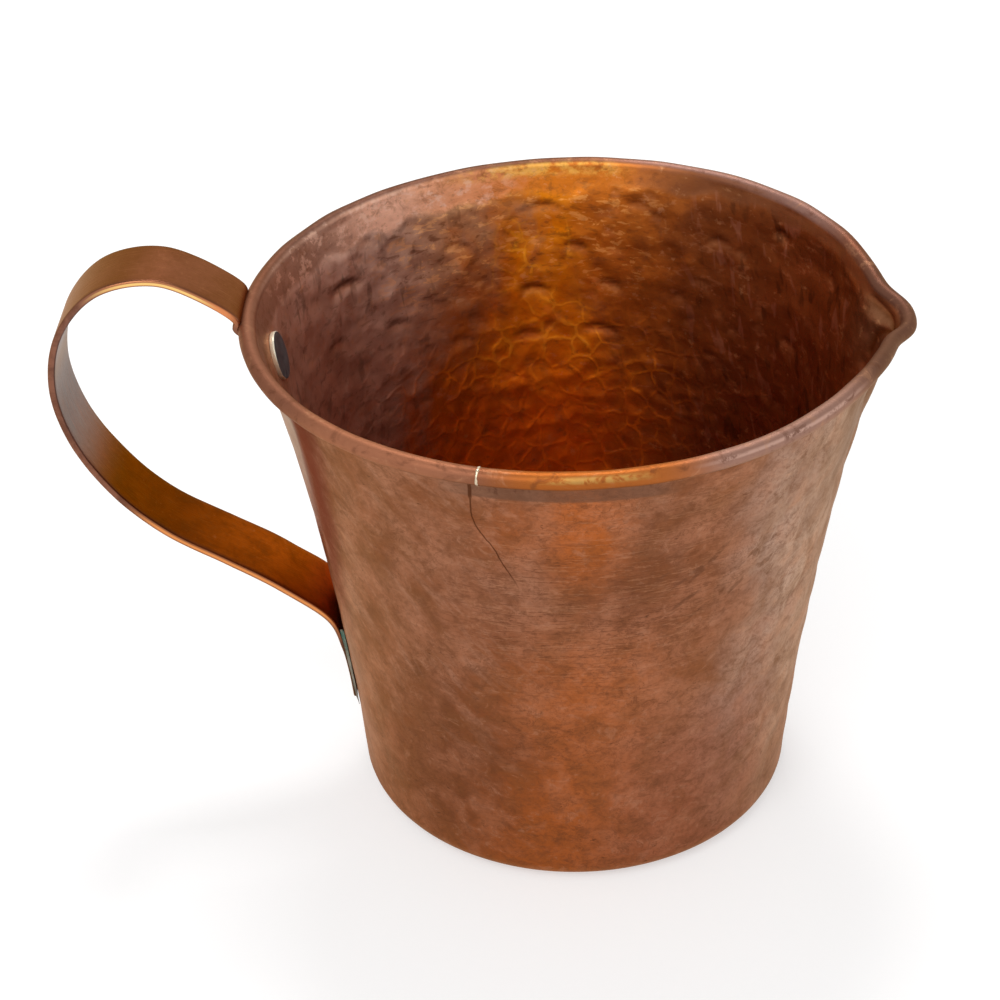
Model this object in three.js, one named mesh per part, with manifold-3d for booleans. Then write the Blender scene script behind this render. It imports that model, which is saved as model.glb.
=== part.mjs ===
// A small hand-made copper creamer, in millimetres, +Z up.
// The origin is the centre of the foot on the table, +X points to the pouring lip and -X to the strap handle.
import * as THREE from "three";
import { mergeVertices } from "three/addons/utils/BufferGeometryUtils.js";
import Module from "manifold-3d";

// Sheet, and the gap left between pieces that touch on the real pot
const SHEET = 0.65;
const FIT = 0.15;

// Flared wall, measured on its outside
const FOOT_DIAMETER = 66.4; // just above the rounded foot
const FOOT_CORNER = 3.7; // radius that turns the wall in under the pot
const FOOT_FLANGE = 2.5; // flat width of the turned-in foot
const RIM_DIAMETER = 95; // over the rolled edge
const RIM_HEIGHT = 80; // to the middle of the rolled edge
const RIM_SLOPE = 0.0115; // rise of the rim towards the lip, for each millimetre along X
const FLARE_EVEN = 0.5065; // share of the flare that grows evenly with height
const FLARE_BELLY = 0.415; // share that grows with the square of the height
const FLARE_EDGE_POWER = 9; // the rest comes in close to the rim

// Rolled edge with its wire
const WIRE_DIAMETER = 0.85;
const ROLL_END = THREE.MathUtils.degToRad(-120); // where the rolled sheet stops, next to the wall
const JOINT_WIDTH = 0.7; // silver solder between the two ends of the rolled edge
const JOINT_START = THREE.MathUtils.degToRad(150); // where that solder starts on the inside of the edge
const JOINT_TURN = THREE.MathUtils.degToRad(-104.6); // its place round the rim, from the lip

// Pouring lip, as lengths along the rim and down the wall
const LIP_PULL = 2.45;
const LIP_HALF_WIDTH = 4.05;
const LIP_DEPTH = 37.5;
const LIP_DIP = 3.1;
const DIP_HALF_WIDTH = 11;
const DIP_DEPTH = 7;
const PINCH = 0.86;
const PINCH_HALF_WIDTH = 14.5;
const PINCH_OFFSET = 21.6;

// Base disc and its braze
const BRAZE_WIDTH = 2.6;
const BRAZE_HEIGHT = 0.35;
const BRAZE_SLOPE = 0.45;

// Strap handle
const STRAP_THICKNESS = 1.08;
const STRAP_END_THICKNESS = 0.45; // hammered thin where it is soldered
const STRAP_TOP_WIDTH = 9.8;
const STRAP_LOW_WIDTH = 12.7;
const STRAP_RISE = 7.75; // middle of the strap's crest above the rim
const STRAP_STAND = 32; // from the wall to the middle of the strap at its widest
const TAB_DEPTH = 14; // from the rim down to the lower end of the riveted tab
const BEND_DEPTH = 5.1; // from the rim down to where the tab starts to bend round the rolled edge
const LEAVE_HEIGHT = 24; // where the strap leaves the wall again
const SEAT_LENGTH = 9.5; // from there down to its lower end
// Stretches of the strap's length, as shares from the tab: flat after the tab, round and thin again at the end
const TAB_FLATTENS = [0.07, 0.16];
const END_ROUNDS = [0.82, 0.91];
const END_THINS = [0.85, 0.94];
// The loop between the two, as shares of the stand-off from the wall and of the height up to the crest
const LOOP = [
  [0.153, 0.94],
  [0.407, 1],
  [0.667, 0.978],
  [0.854, 0.877],
  [1, 0.734],
  [1.001, 0.587],
  [0.897, 0.454],
  [0.717, 0.34],
  [0.469, 0.255],
  [0.231, 0.172],
  [0.053, 0.083],
];
// Where the strap bends round the rolled edge: under it, beside it and over it
const ROUND_ROLL = [-52, 0, 50].map(THREE.MathUtils.degToRad);

// Rivet through the tab, its washer and the solder at the strap's lower end
const RIVET_DEPTH = 7.6; // from the rim down to the middle of the rivet
const SHANK_DIAMETER = 3;
const HEAD_DIAMETER = 7.2;
const HEAD_THICKNESS = 0.7;
const HEAD_CHAMFER = 0.15;
const TAIL_DIAMETER = 4.2;
const TAIL_HEIGHT = 1;
const WASHER_DIAMETER = 5.2;
const WASHER_THICKNESS = 0.6;
const SOLDER_LEG = 1.1; // width of the solder fillet on the wall
const SOLDER_HEIGHT = 0.7;
const SOLDER_EDGE = 0.15;
const SOLDER_REACH = 3.5; // how far it runs up past the place where the strap leaves the wall

// Fineness of the round shapes
const TURNS = 72;
const CROWDING = 0.4; // crowds the divisions towards the lip
const STRAP_STEPS = 52;
const STRAP_STRIPS = 6;
const RIVET_TURNS = 24;

const wasm = await Module();
wasm.setup();

const rollRadius = WIRE_DIAMETER / 2 + FIT + SHEET;
const channelRadius = WIRE_DIAMETER / 2 + FIT;
const rollCentre = RIM_DIAMETER / 2 - rollRadius;
const rimWall = rollCentre - channelRadius; // outside of the wall at the rim
const footRadius = FOOT_DIAMETER / 2;
const flangeEdge = footRadius - FOOT_CORNER - FOOT_FLANGE;
const flareHeight = RIM_HEIGHT - FOOT_CORNER;
const tabEnd = RIM_HEIGHT - TAB_DEPTH;
const tabBend = RIM_HEIGHT - BEND_DEPTH;
const rivetHeight = RIM_HEIGHT - RIVET_DEPTH;
const strapEnd = LEAVE_HEIGHT - SEAT_LENGTH;
const solderTop = LEAVE_HEIGHT + SOLDER_REACH;

function wallRadius(z) {
  const t = THREE.MathUtils.clamp((z - FOOT_CORNER) / flareHeight, 0, 1);
  const edge = 1 - FLARE_EVEN - FLARE_BELLY;
  const share = FLARE_EVEN * t + FLARE_BELLY * t ** 2 + edge * t ** FLARE_EDGE_POWER;
  return footRadius + (rimWall - footRadius) * share;
}

function wallSlope(z) {
  const step = 0.01;
  return (wallRadius(z + step) - wallRadius(z - step)) / (2 * step);
}

// A profile in radius and height, turned about the pot's axis
function turned(profile, turns = TURNS) {
  return new THREE.LatheGeometry(profile, turns).rotateX(Math.PI / 2);
}

function crowdTowardsLip(geometry) {
  const position = geometry.getAttribute("position");
  for (let i = 0; i < position.count; i++) {
    const x = position.getX(i);
    const y = position.getY(i);
    const angle = Math.atan2(y, x);
    const moved = angle - CROWDING * Math.sin(angle);
    const radius = Math.hypot(x, y);
    position.setXY(i, radius * Math.cos(moved), radius * Math.sin(moved));
  }
  return geometry;
}

function bell(offset, halfWidth) {
  return Math.exp(-0.5 * (offset / halfWidth) ** 2);
}

// The height that a pull at the rim still reaches, from 0 at its lowest to 1 at the rim
function fade(z, depth) {
  return THREE.MathUtils.smoothstep(z, RIM_HEIGHT - depth, RIM_HEIGHT);
}

// Pulls the lip, pinches the rim beside it and leans the rim up towards it
function formRim(geometry) {
  const position = geometry.getAttribute("position");
  for (let i = 0; i < position.count; i++) {
    const x = position.getX(i);
    const y = position.getY(i);
    const z = position.getZ(i);
    const along = Math.abs(Math.atan2(y, x)) * rollCentre;
    const pull = LIP_PULL * bell(along, LIP_HALF_WIDTH) * fade(z, LIP_DEPTH);
    const pinch = PINCH * bell(along - PINCH_OFFSET, PINCH_HALF_WIDTH) * fade(z, DIP_DEPTH);
    const dip = LIP_DIP * bell(along, DIP_HALF_WIDTH) * fade(z, DIP_DEPTH);
    const radius = Math.hypot(x, y);
    const stretch = radius > 0 ? (radius + pull - pinch) / radius : 1;
    const lean = RIM_SLOPE * x * Math.max(0, (z - FOOT_CORNER) / flareHeight);
    position.setXYZ(i, x * stretch, y * stretch, z + lean - dip);
  }
  return geometry;
}

function solid(geometry) {
  const bare = geometry.clone();
  bare.deleteAttribute("normal");
  bare.deleteAttribute("uv");
  const merged = mergeVertices(bare);
  const vertProperties = merged.getAttribute("position").array;
  const triVerts = new Uint32Array(merged.index.array);
  return new wasm.Manifold(new wasm.Mesh({ numProp: 3, vertProperties, triVerts }));
}

function cut(geometry, ...cutters) {
  const rest = cutters.reduce((left, cutter) => left.subtract(solid(cutter)), solid(geometry));
  const mesh = rest.getMesh();
  const result = new THREE.BufferGeometry();
  result.setAttribute("position", new THREE.BufferAttribute(mesh.vertProperties, 3));
  result.setIndex(new THREE.BufferAttribute(mesh.triVerts, 1));
  return result;
}

// Points on an arc about the middle of the rolled edge
function rollArc(radius, from, to, steps) {
  const points = [];
  for (let i = 0; i <= steps; i++) {
    const angle = THREE.MathUtils.lerp(from, to, i / steps);
    const r = rollCentre + radius * Math.cos(angle);
    points.push(new THREE.Vector2(r, RIM_HEIGHT + radius * Math.sin(angle)));
  }
  return points;
}

function footArc(radius, from, to, steps) {
  const points = [];
  for (let i = 0; i <= steps; i++) {
    const angle = THREE.MathUtils.lerp(from, to, i / steps);
    const r = footRadius - FOOT_CORNER + radius * Math.cos(angle);
    points.push(new THREE.Vector2(r, FOOT_CORNER + radius * Math.sin(angle)));
  }
  return points;
}

// Turned-in foot, outside of the wall, rolled edge, and back down the inside
function wallProfile() {
  const shares = [0.14, 0.28, 0.42, 0.56, 0.7, 0.8, 0.87, 0.93, 0.97];
  const heights = shares.map((share) => FOOT_CORNER + share * flareHeight);
  const outside = heights.map((z) => new THREE.Vector2(wallRadius(z), z));
  const inside = heights.map((z) => {
    const across = SHEET * Math.hypot(1, wallSlope(z));
    return new THREE.Vector2(wallRadius(z) - across, z);
  });
  const profile = [
    new THREE.Vector2(flangeEdge, 0),
    ...footArc(FOOT_CORNER, -Math.PI / 2, 0, 4),
    ...outside,
    ...rollArc(channelRadius, Math.PI, ROLL_END, 7),
    ...rollArc(rollRadius, ROLL_END, Math.PI, 10),
    ...inside.reverse(),
    ...footArc(FOOT_CORNER - SHEET, 0, -Math.PI / 2, 4),
    new THREE.Vector2(flangeEdge, SHEET),
    new THREE.Vector2(flangeEdge, 0),
  ];
  return profile;
}

// Maps a place on the handle side, given by its distance from the axis, its distance to the side and its height;
// wrap is 0 for a flat strap and 1 for one that follows the round wall.
function besideWall(radius, side, z, wrap) {
  const angle = side / wallRadius(z);
  const x = THREE.MathUtils.lerp(radius, radius * Math.cos(angle), wrap);
  const y = THREE.MathUtils.lerp(side, radius * Math.sin(angle), wrap);
  return new THREE.Vector3(-x, -y, z);
}

function onWall(z, lift) {
  const slope = wallSlope(z);
  const length = Math.hypot(1, slope);
  return new THREE.Vector3(wallRadius(z) + lift / length, 0, z - (lift * slope) / length);
}

function strapPath() {
  const seat = FIT + STRAP_THICKNESS / 2;
  const endSeat = FIT + STRAP_END_THICKNESS / 2;
  const pass = rollRadius + FIT + seat;
  const crest = RIM_HEIGHT + STRAP_RISE;
  const loop = LOOP.map(([out, up]) => {
    const z = THREE.MathUtils.lerp(LEAVE_HEIGHT, crest, up);
    return new THREE.Vector3(wallRadius(z) + out * STRAP_STAND, 0, z);
  });
  const passing = ROUND_ROLL.map((angle) => {
    const r = rollCentre + pass * Math.cos(angle);
    return new THREE.Vector3(r, 0, RIM_HEIGHT + pass * Math.sin(angle));
  });
  return new THREE.CatmullRomCurve3([
    onWall(tabEnd, seat),
    onWall(THREE.MathUtils.lerp(tabEnd, tabBend, 0.5), seat),
    onWall(tabBend, seat),
    ...passing,
    ...loop,
    onWall(LEAVE_HEIGHT, seat),
    onWall(THREE.MathUtils.lerp(strapEnd, LEAVE_HEIGHT, 0.5), endSeat),
    onWall(strapEnd, endSeat),
  ]);
}

function strapWidth(share) {
  return THREE.MathUtils.lerp(STRAP_TOP_WIDTH, STRAP_LOW_WIDTH, share ** 0.7);
}

// A flat bar bent along the path, following the wall at both of its ends
function strapGeometry() {
  const path = strapPath();
  const geometry = new THREE.BoxGeometry(1, 1, 1, STRAP_STEPS, STRAP_STRIPS, 1);
  const position = geometry.getAttribute("position");
  for (let i = 0; i < position.count; i++) {
    const share = position.getX(i) + 0.5;
    const centre = path.getPointAt(share);
    const tangent = path.getTangentAt(share);
    const thinning = THREE.MathUtils.smoothstep(share, END_THINS[0], END_THINS[1]);
    const thickness = THREE.MathUtils.lerp(STRAP_THICKNESS, STRAP_END_THICKNESS, thinning);
    const out = position.getZ(i) * thickness;
    const side = -position.getY(i) * strapWidth(share);
    const tabWrap = 1 - THREE.MathUtils.smoothstep(share, TAB_FLATTENS[0], TAB_FLATTENS[1]);
    const wrap = tabWrap + THREE.MathUtils.smoothstep(share, END_ROUNDS[0], END_ROUNDS[1]);
    const place = besideWall(centre.x + out * tangent.z, side, centre.z - out * tangent.x, wrap);
    position.setXYZ(i, place.x, place.y, place.z);
  }
  return geometry;
}

// A piece turned about the rivet's axis; heights in the profile count outwards from the wall's outer face
function aboutRivet(profile, turns = RIVET_TURNS) {
  const slope = wallSlope(rivetHeight);
  const outward = new THREE.Vector3(-1, 0, -slope).normalize();
  const sideways = new THREE.Vector3(0, 1, 0);
  const third = new THREE.Vector3().crossVectors(sideways, outward);
  const frame = new THREE.Matrix4().makeBasis(sideways, outward, third);
  frame.setPosition(-wallRadius(rivetHeight), 0, rivetHeight);
  return new THREE.LatheGeometry(profile, turns).applyMatrix4(frame);
}

function profileOf(pairs) {
  return pairs.map(([radius, height]) => new THREE.Vector2(radius, height));
}

const washerSeat = FIT + STRAP_THICKNESS + FIT;
const tailSeat = washerSeat + WASHER_THICKNESS + FIT;

function rivetProfile() {
  const headRadius = HEAD_DIAMETER / 2;
  const shank = SHANK_DIAMETER / 2;
  const tail = TAIL_DIAMETER / 2;
  const hollow = headRadius ** 2 / (2 * (wallRadius(rivetHeight) - SHEET)); // depth of the round wall under the head
  const seat = -SHEET - FIT - hollow;
  const face = seat - HEAD_THICKNESS;
  return profileOf([
    [0, face],
    [headRadius - HEAD_CHAMFER, face],
    [headRadius, face + HEAD_CHAMFER],
    [headRadius, seat],
    [shank, seat],
    [shank, tailSeat],
    [tail, tailSeat],
    [tail * 0.9, tailSeat + TAIL_HEIGHT * 0.5],
    [tail * 0.55, tailSeat + TAIL_HEIGHT * 0.88],
    [0, tailSeat + TAIL_HEIGHT],
  ]);
}

function rivetHole(radius) {
  const reach = SHEET + tailSeat + TAIL_HEIGHT;
  return aboutRivet(profileOf([[0, -reach], [radius, -reach], [radius, reach], [0, reach]]));
}

function washerProfile() {
  const hole = SHANK_DIAMETER / 2 + FIT;
  const edge = WASHER_DIAMETER / 2;
  const top = washerSeat + WASHER_THICKNESS;
  return profileOf([[hole, washerSeat], [edge, washerSeat], [edge, top], [hole, top], [hole, washerSeat]]);
}

// A slice of the rolled edge: a C-shaped section, pushed along the rim
function rollSlice(inner, outer, from, to, width) {
  const shape = new THREE.Shape();
  shape.absarc(0, 0, outer, from, to, false);
  shape.absarc(0, 0, inner, to, from, true);
  const options = { depth: width, bevelEnabled: false, curveSegments: 12 };
  const slice = new THREE.ExtrudeGeometry(shape, options).translate(0, 0, -width / 2);
  const radial = new THREE.Vector3(Math.cos(JOINT_TURN), Math.sin(JOINT_TURN), 0);
  const up = new THREE.Vector3(0, 0, 1);
  const along = new THREE.Vector3().crossVectors(radial, up);
  const frame = new THREE.Matrix4().makeBasis(radial, up, along);
  frame.setPosition(radial.multiplyScalar(rollCentre).setZ(RIM_HEIGHT));
  return slice.applyMatrix4(frame);
}

// A fillet of solder that runs down one edge of the strap, round its end and up the other edge
function solderGeometry() {
  const perSide = 8;
  const geometry = new THREE.BoxGeometry(1, 1, 1, 3 * perSide, 1, 1);
  const position = geometry.getAttribute("position");
  for (let i = 0; i < position.count; i++) {
    const along = (position.getX(i) + 0.5) * 3;
    const away = position.getY(i) + 0.5;
    const high = position.getZ(i) + 0.5;
    const spread = FIT + away * SOLDER_LEG;
    const half = strapWidth(1) / 2 + spread;
    const low = strapEnd - spread;
    const down = THREE.MathUtils.clamp(Math.min(along, 3 - along), 0, 1);
    const across = THREE.MathUtils.clamp(along - 1, 0, 1);
    const z = THREE.MathUtils.lerp(solderTop, low, down);
    const side = THREE.MathUtils.lerp(half, -half, across);
    const height = THREE.MathUtils.lerp(SOLDER_HEIGHT, SOLDER_EDGE, away);
    const place = besideWall(wallRadius(z) + FIT + high * height, side, z, 1);
    position.setXYZ(i, place.x, place.y, place.z);
  }
  return geometry;
}

const copper = new THREE.MeshStandardMaterial({ color: 0x9a6246, roughness: 0.45, metalness: 1 });
const brightCopper = new THREE.MeshStandardMaterial({ color: 0xb06a45, roughness: 0.4, metalness: 1 });
const iron = new THREE.MeshStandardMaterial({ color: 0x6a6866, roughness: 0.5, metalness: 1 });
const silverSolder = new THREE.MeshStandardMaterial({ color: 0xc9c2ae, roughness: 0.35, metalness: 1 });
const greyMetal = new THREE.MeshStandardMaterial({ color: 0x77756f, roughness: 0.4, metalness: 1 });
const softSolder = new THREE.MeshStandardMaterial({ color: 0x8d9086, roughness: 0.6, metalness: 0.8 });

function piece(name, geometry, material) {
  geometry.computeVertexNormals();
  const mesh = new THREE.Mesh(geometry, material.clone());
  mesh.name = name;
  return mesh;
}

const shankHole = rivetHole(SHANK_DIAMETER / 2 + FIT);
const cutMargin = THREE.MathUtils.degToRad(8);
const jointNotch = rollSlice(
  channelRadius - FIT,
  rollRadius + FIT / 3,
  ROLL_END - cutMargin,
  JOINT_START + cutMargin,
  JOINT_WIDTH + 2 * FIT,
);
const wallBlank = crowdTowardsLip(turned(wallProfile()));
const wirePoints = rollArc(WIRE_DIAMETER / 2, 0, 2 * Math.PI, 8);
const discProfile = profileOf([[0, 0], [flangeEdge - FIT, 0], [flangeEdge - FIT, SHEET], [0, SHEET]]);
const brazeTop = SHEET + BRAZE_HEIGHT;
const brazeProfile = profileOf([
  [flangeEdge - BRAZE_WIDTH / 2, SHEET],
  [flangeEdge + BRAZE_WIDTH / 2, SHEET],
  [flangeEdge + BRAZE_WIDTH / 2 - BRAZE_SLOPE, brazeTop],
  [flangeEdge - BRAZE_WIDTH / 2 + BRAZE_SLOPE, brazeTop],
  [flangeEdge - BRAZE_WIDTH / 2, SHEET],
]);
const jointSolder = rollSlice(channelRadius, rollRadius, ROLL_END, JOINT_START, JOINT_WIDTH);

const creamer = new THREE.Group();
creamer.add(
  piece("body_wall", formRim(cut(wallBlank, shankHole, jointNotch)), copper),
  piece("rim_wire", formRim(crowdTowardsLip(turned(wirePoints))), iron),
  piece("rim_joint_solder", formRim(jointSolder), silverSolder),
  piece("base_disc", turned(discProfile), copper),
  piece("base_braze", turned(brazeProfile), silverSolder),
  piece("handle_strap", formRim(cut(strapGeometry(), shankHole)), brightCopper),
  piece("handle_rivet", formRim(aboutRivet(rivetProfile())), greyMetal),
  piece("rivet_washer", formRim(aboutRivet(washerProfile())), brightCopper),
  piece("lower_solder", formRim(solderGeometry()), softSolder),
);

export default creamer;
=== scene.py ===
import math

import bmesh
import bpy
import numpy as np
from mathutils import Matrix, Vector


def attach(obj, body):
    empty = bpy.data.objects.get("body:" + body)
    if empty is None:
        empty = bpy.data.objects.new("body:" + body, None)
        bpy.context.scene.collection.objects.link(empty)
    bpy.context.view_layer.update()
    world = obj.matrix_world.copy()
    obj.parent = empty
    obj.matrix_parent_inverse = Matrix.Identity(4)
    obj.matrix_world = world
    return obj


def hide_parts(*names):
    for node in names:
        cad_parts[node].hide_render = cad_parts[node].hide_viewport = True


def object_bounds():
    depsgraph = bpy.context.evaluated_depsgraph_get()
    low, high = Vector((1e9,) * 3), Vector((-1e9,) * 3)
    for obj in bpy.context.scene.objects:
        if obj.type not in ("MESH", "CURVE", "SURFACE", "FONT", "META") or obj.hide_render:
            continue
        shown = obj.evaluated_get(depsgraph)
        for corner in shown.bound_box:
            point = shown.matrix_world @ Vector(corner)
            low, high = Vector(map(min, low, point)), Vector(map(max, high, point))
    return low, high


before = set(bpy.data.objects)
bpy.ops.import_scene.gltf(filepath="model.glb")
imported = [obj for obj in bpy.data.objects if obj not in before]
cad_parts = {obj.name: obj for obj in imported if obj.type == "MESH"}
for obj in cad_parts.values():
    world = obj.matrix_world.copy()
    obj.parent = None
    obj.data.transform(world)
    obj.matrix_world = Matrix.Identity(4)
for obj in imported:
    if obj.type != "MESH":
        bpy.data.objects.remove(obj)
cad_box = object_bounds()

# Camera
# It looks down into the mouth from the side, with the lip to the right and the handle to the left.
camera = bpy.data.objects.new("camera", bpy.data.cameras.new("camera"))
camera.data.sensor_width = 36
camera.data.lens = 90.61
right = Vector((0.999367, 0.026386, -0.023882))
up = Vector((0.005484, 0.548852, 0.835902))
turn = Matrix((right, up, right.cross(up))).transposed().to_4x4()
camera.matrix_world = Matrix.Translation((0.002475, -0.317135, 0.254943)) @ turn
bpy.context.scene.collection.objects.link(camera)
bpy.context.scene.camera = camera
bpy.context.scene.view_settings.view_transform = "Standard"


# Table and light
# A pale matt table in a bright room, with a small soft box high behind it and a larger one high in front.
class Value:
    """An output socket of a finish; Python's operators on it add Math nodes."""

    def __init__(self, finish, socket):
        self.finish = finish
        self.socket = socket

    def math(self, operation, *inputs):
        settings = {"operation": operation}
        return self.finish.node("Math", settings, dict(enumerate(inputs)))

    def __add__(self, other):
        return self.math("ADD", self, other)

    def __sub__(self, other):
        return self.math("SUBTRACT", self, other)

    def __mul__(self, other):
        return self.math("MULTIPLY", self, other)

    def __truediv__(self, other):
        return self.math("DIVIDE", self, other)

    def __pow__(self, other):
        return self.math("POWER", self, other)

    def __radd__(self, other):
        return self.math("ADD", other, self)

    def __rsub__(self, other):
        return self.math("SUBTRACT", other, self)

    def __rmul__(self, other):
        return self.math("MULTIPLY", other, self)

    def __abs__(self):
        return self.math("ABSOLUTE", self)

    def most(self, other):
        return self.math("MAXIMUM", self, other)

    def least(self, other):
        return self.math("MINIMUM", self, other)

    def rise(self, low, high):
        """0 up to low, 1 from high on, and smooth between them."""
        settings = {"interpolation_type": "SMOOTHSTEP"}
        inputs = {"Value": self, "From Min": low, "From Max": high}
        return self.finish.node("MapRange", settings, inputs)

    def fall(self, low, high):
        """1 up to low, 0 from high on, and smooth between them."""
        return 1 - self.rise(low, high)


class Finish:
    """A material, or the world, whose nodes are written as expressions."""

    def __init__(self, owner):
        owner.use_nodes = True
        self.owner = owner
        self.tree = owner.node_tree
        self.tree.nodes.clear()

    def node(self, kind, settings=None, inputs=None, output=0):
        made = self.tree.nodes.new("ShaderNode" + kind)
        for key, value in (settings or {}).items():
            setattr(made, key, value)
        for key, value in (inputs or {}).items():
            if isinstance(value, Value):
                self.tree.links.new(value.socket, made.inputs[key])
            else:
                made.inputs[key].default_value = value
        return Value(self, made.outputs[output])

    def blend(self, share, first, second):
        """One colour over another; a share of 0 shows the first."""
        settings = {"data_type": "RGBA"}
        colours = [c if isinstance(c, Value) else (*c, 1) for c in (first, second)]
        return self.node("Mix", settings, {0: share, 6: colours[0], 7: colours[1]}, 2)

    def layered(self, colour, *layers):
        """A colour with others laid over it one after the other, each with its share."""
        for share, over in layers:
            colour = self.blend(share, colour, over)
        return colour

    def place(self, scale=(1, 1, 1), turn=(0, 0, 0)):
        """Object coordinates, scaled and turned."""
        here = self.node("TexCoord", output="Object")
        return self.node("Mapping", None, {"Vector": here, "Scale": scale, "Rotation": turn})

    def drawn_out(self, turn, scale):
        """Object coordinates turned first and scaled after, for marks that all run one way."""
        return self.node("Mapping", None, {"Vector": self.place(turn=turn), "Scale": scale})

    def swirled(self, place, scale, detail, reach):
        """A place pushed about by a noise, by up to reach in metres."""
        push = self.node("TexNoise", None, {"Vector": place, "Scale": scale, "Detail": detail}, "Color")
        settings = {"operation": "MULTIPLY_ADD"}
        return self.node("VectorMath", settings, {0: push, 1: (reach, reach, reach), 2: place})

    def noise(self, place, scale, detail=3, roughness=0.5, distortion=0):
        inputs = {"Vector": place, "Scale": scale, "Detail": detail}
        inputs.update({"Roughness": roughness, "Distortion": distortion})
        return self.node("TexNoise", None, inputs)

    def edges(self, **inputs):
        """Distance from the edges of the cells of a Voronoi pattern."""
        return self.node("TexVoronoi", {"feature": "DISTANCE_TO_EDGE"}, inputs, "Distance")

    def mask(self, name):
        """A value that the mesh carries at its vertices."""
        return self.node("Attribute", {"attribute_name": name}, output="Fac")

    def metal(self, colour, roughness, relief=None, depth=0.0001, **constants):
        """Ends a metal: relief from 0 to 1 stands up by depth, in metres."""
        inputs = {"Base Color": colour, "Roughness": roughness, "Metallic": 1.0}
        inputs.update(constants)
        if relief is not None:
            lift = {"Height": relief, "Distance": depth, "Strength": 1.0}
            inputs["Normal"] = self.node("Bump", None, lift)
        self.end(self.node("BsdfPrincipled", None, inputs))
        return self.owner

    def end(self, shader):
        kind = "OutputWorld" if isinstance(self.owner, bpy.types.World) else "OutputMaterial"
        last = self.tree.nodes.new("ShaderNode" + kind)
        self.tree.links.new(shader.socket, last.inputs["Surface"])


def seen(finish):
    """1 for the rays of the camera, of a reflection and of a look through glass."""
    kinds = ("Camera", "Glossy", "Transmission")
    path = [finish.node("LightPath", output=f"Is {kind} Ray") for kind in kinds]
    return path[0].most(path[1]).most(path[2])


def mesh_of(name, shape):
    """A mesh with the faces of a bmesh, which ends here."""
    data = bpy.data.meshes.new(name)
    shape.to_mesh(data)
    shape.free()
    return data


ROOM_LIGHT = 0.55
room = bpy.data.worlds.new("room")
bpy.context.scene.world = room
air = Finish(room)
toward = air.node("SeparateXYZ", None, {0: air.node("TexCoord", output="Generated")}, "Z")
backdrop = 1 - 0.4 * toward.rise(0.3, 0.95)
strength = ROOM_LIGHT + (backdrop - ROOM_LIGHT) * seen(air)
air.end(air.node("Background", None, {"Color": (1, 1, 1, 1), "Strength": strength}))

table_mesh = bmesh.new()
bmesh.ops.create_grid(table_mesh, x_segments=8, y_segments=8, size=2.5)
table_data = mesh_of("table", table_mesh)
table = bpy.data.objects.new("table", table_data)
table.location.z = -0.0002
bpy.context.scene.collection.objects.link(table)
paper = Finish(bpy.data.materials.new("white_paper"))
grain = paper.noise(paper.place(), 900)
matt = paper.node("BsdfDiffuse", None, {"Color": paper.blend(grain, (0.55, 0.55, 0.55), (0.58, 0.58, 0.58))})
lift = paper.node("Emission", None, {"Color": (1, 1, 1, 1), "Strength": 0.53 * seen(paper)})
paper.end(paper.node("AddShader", None, {0: matt, 1: lift}))
table_data.materials.append(paper.owner)

SOFT_BOXES = {
    "box_behind": {"size": 0.3, "energy": 5.0, "place": (-0.03, 0.5, 1.1)},
    "box_front": {"size": 0.7, "energy": 5.5, "place": (-0.3, -0.8, 1.0)},
}
for name, soft_box in SOFT_BOXES.items():
    lamp = bpy.data.lights.new(name, "AREA")
    lamp.shape = "SQUARE"
    lamp.size = soft_box["size"]
    lamp.energy = soft_box["energy"]
    stand = bpy.data.objects.new(name, lamp)
    stand.location = soft_box["place"]
    stand.rotation_euler = (-stand.location).to_track_quat("-Z", "Y").to_euler()
    bpy.context.scene.collection.objects.link(stand)


# Wall
# One strip of copper sheet, rolled to a flared tube, lap-jointed and soldered, hammered from the inside and
# planished outside, turned in under the foot and rolled outwards over a wire at the mouth.
MM = 0.001  # all sizes of the pot are in millimetres until its meshes are written
SHEET = 0.65
FIT = 0.15
FOOT_RADIUS = 33.2
FOOT_CORNER = 3.7
FLANGE_EDGE = 27.0
RIM_HEIGHT = 80.0
RIM_RADIUS = 47.5
RIM_SLOPE = 0.0115
FLARE = (0.5065, 0.415, 0.0785)
FLARE_EDGE_POWER = 9
WIRE_RADIUS = 0.425
CHANNEL_RADIUS = WIRE_RADIUS + FIT
ROLL_RADIUS = CHANNEL_RADIUS + SHEET
ROLL_CENTRE = RIM_RADIUS - ROLL_RADIUS
RIM_WALL = ROLL_CENTRE - CHANNEL_RADIUS
ROLL_END = -120
LIP_PULL = 2.45
LIP_HALF_WIDTH = 4.6
LIP_DEPTH = 37.5
LIP_DIP = 3.1
DIP_HALF_WIDTH = 11
PINCH = 0.86
PINCH_BESIDE = 21.6
PINCH_HALF_WIDTH = 14.5
FORMED_DEPTH = 7


def smooth(value, low, high):
    t = np.clip((value - low) / (high - low), 0, 1)
    return t * t * (3 - 2 * t)


def bell(offset, half_width):
    return np.exp(-0.5 * (offset / half_width) ** 2)


def wall_radius(z):
    t = np.clip((z - FOOT_CORNER) / (RIM_HEIGHT - FOOT_CORNER), 0, 1)
    share = FLARE[0] * t + FLARE[1] * t**2 + FLARE[2] * t**FLARE_EDGE_POWER
    return FOOT_RADIUS + (RIM_WALL - FOOT_RADIUS) * share


def wall_slope(z):
    return (wall_radius(z + 0.01) - wall_radius(z - 0.01)) / 0.02


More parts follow.
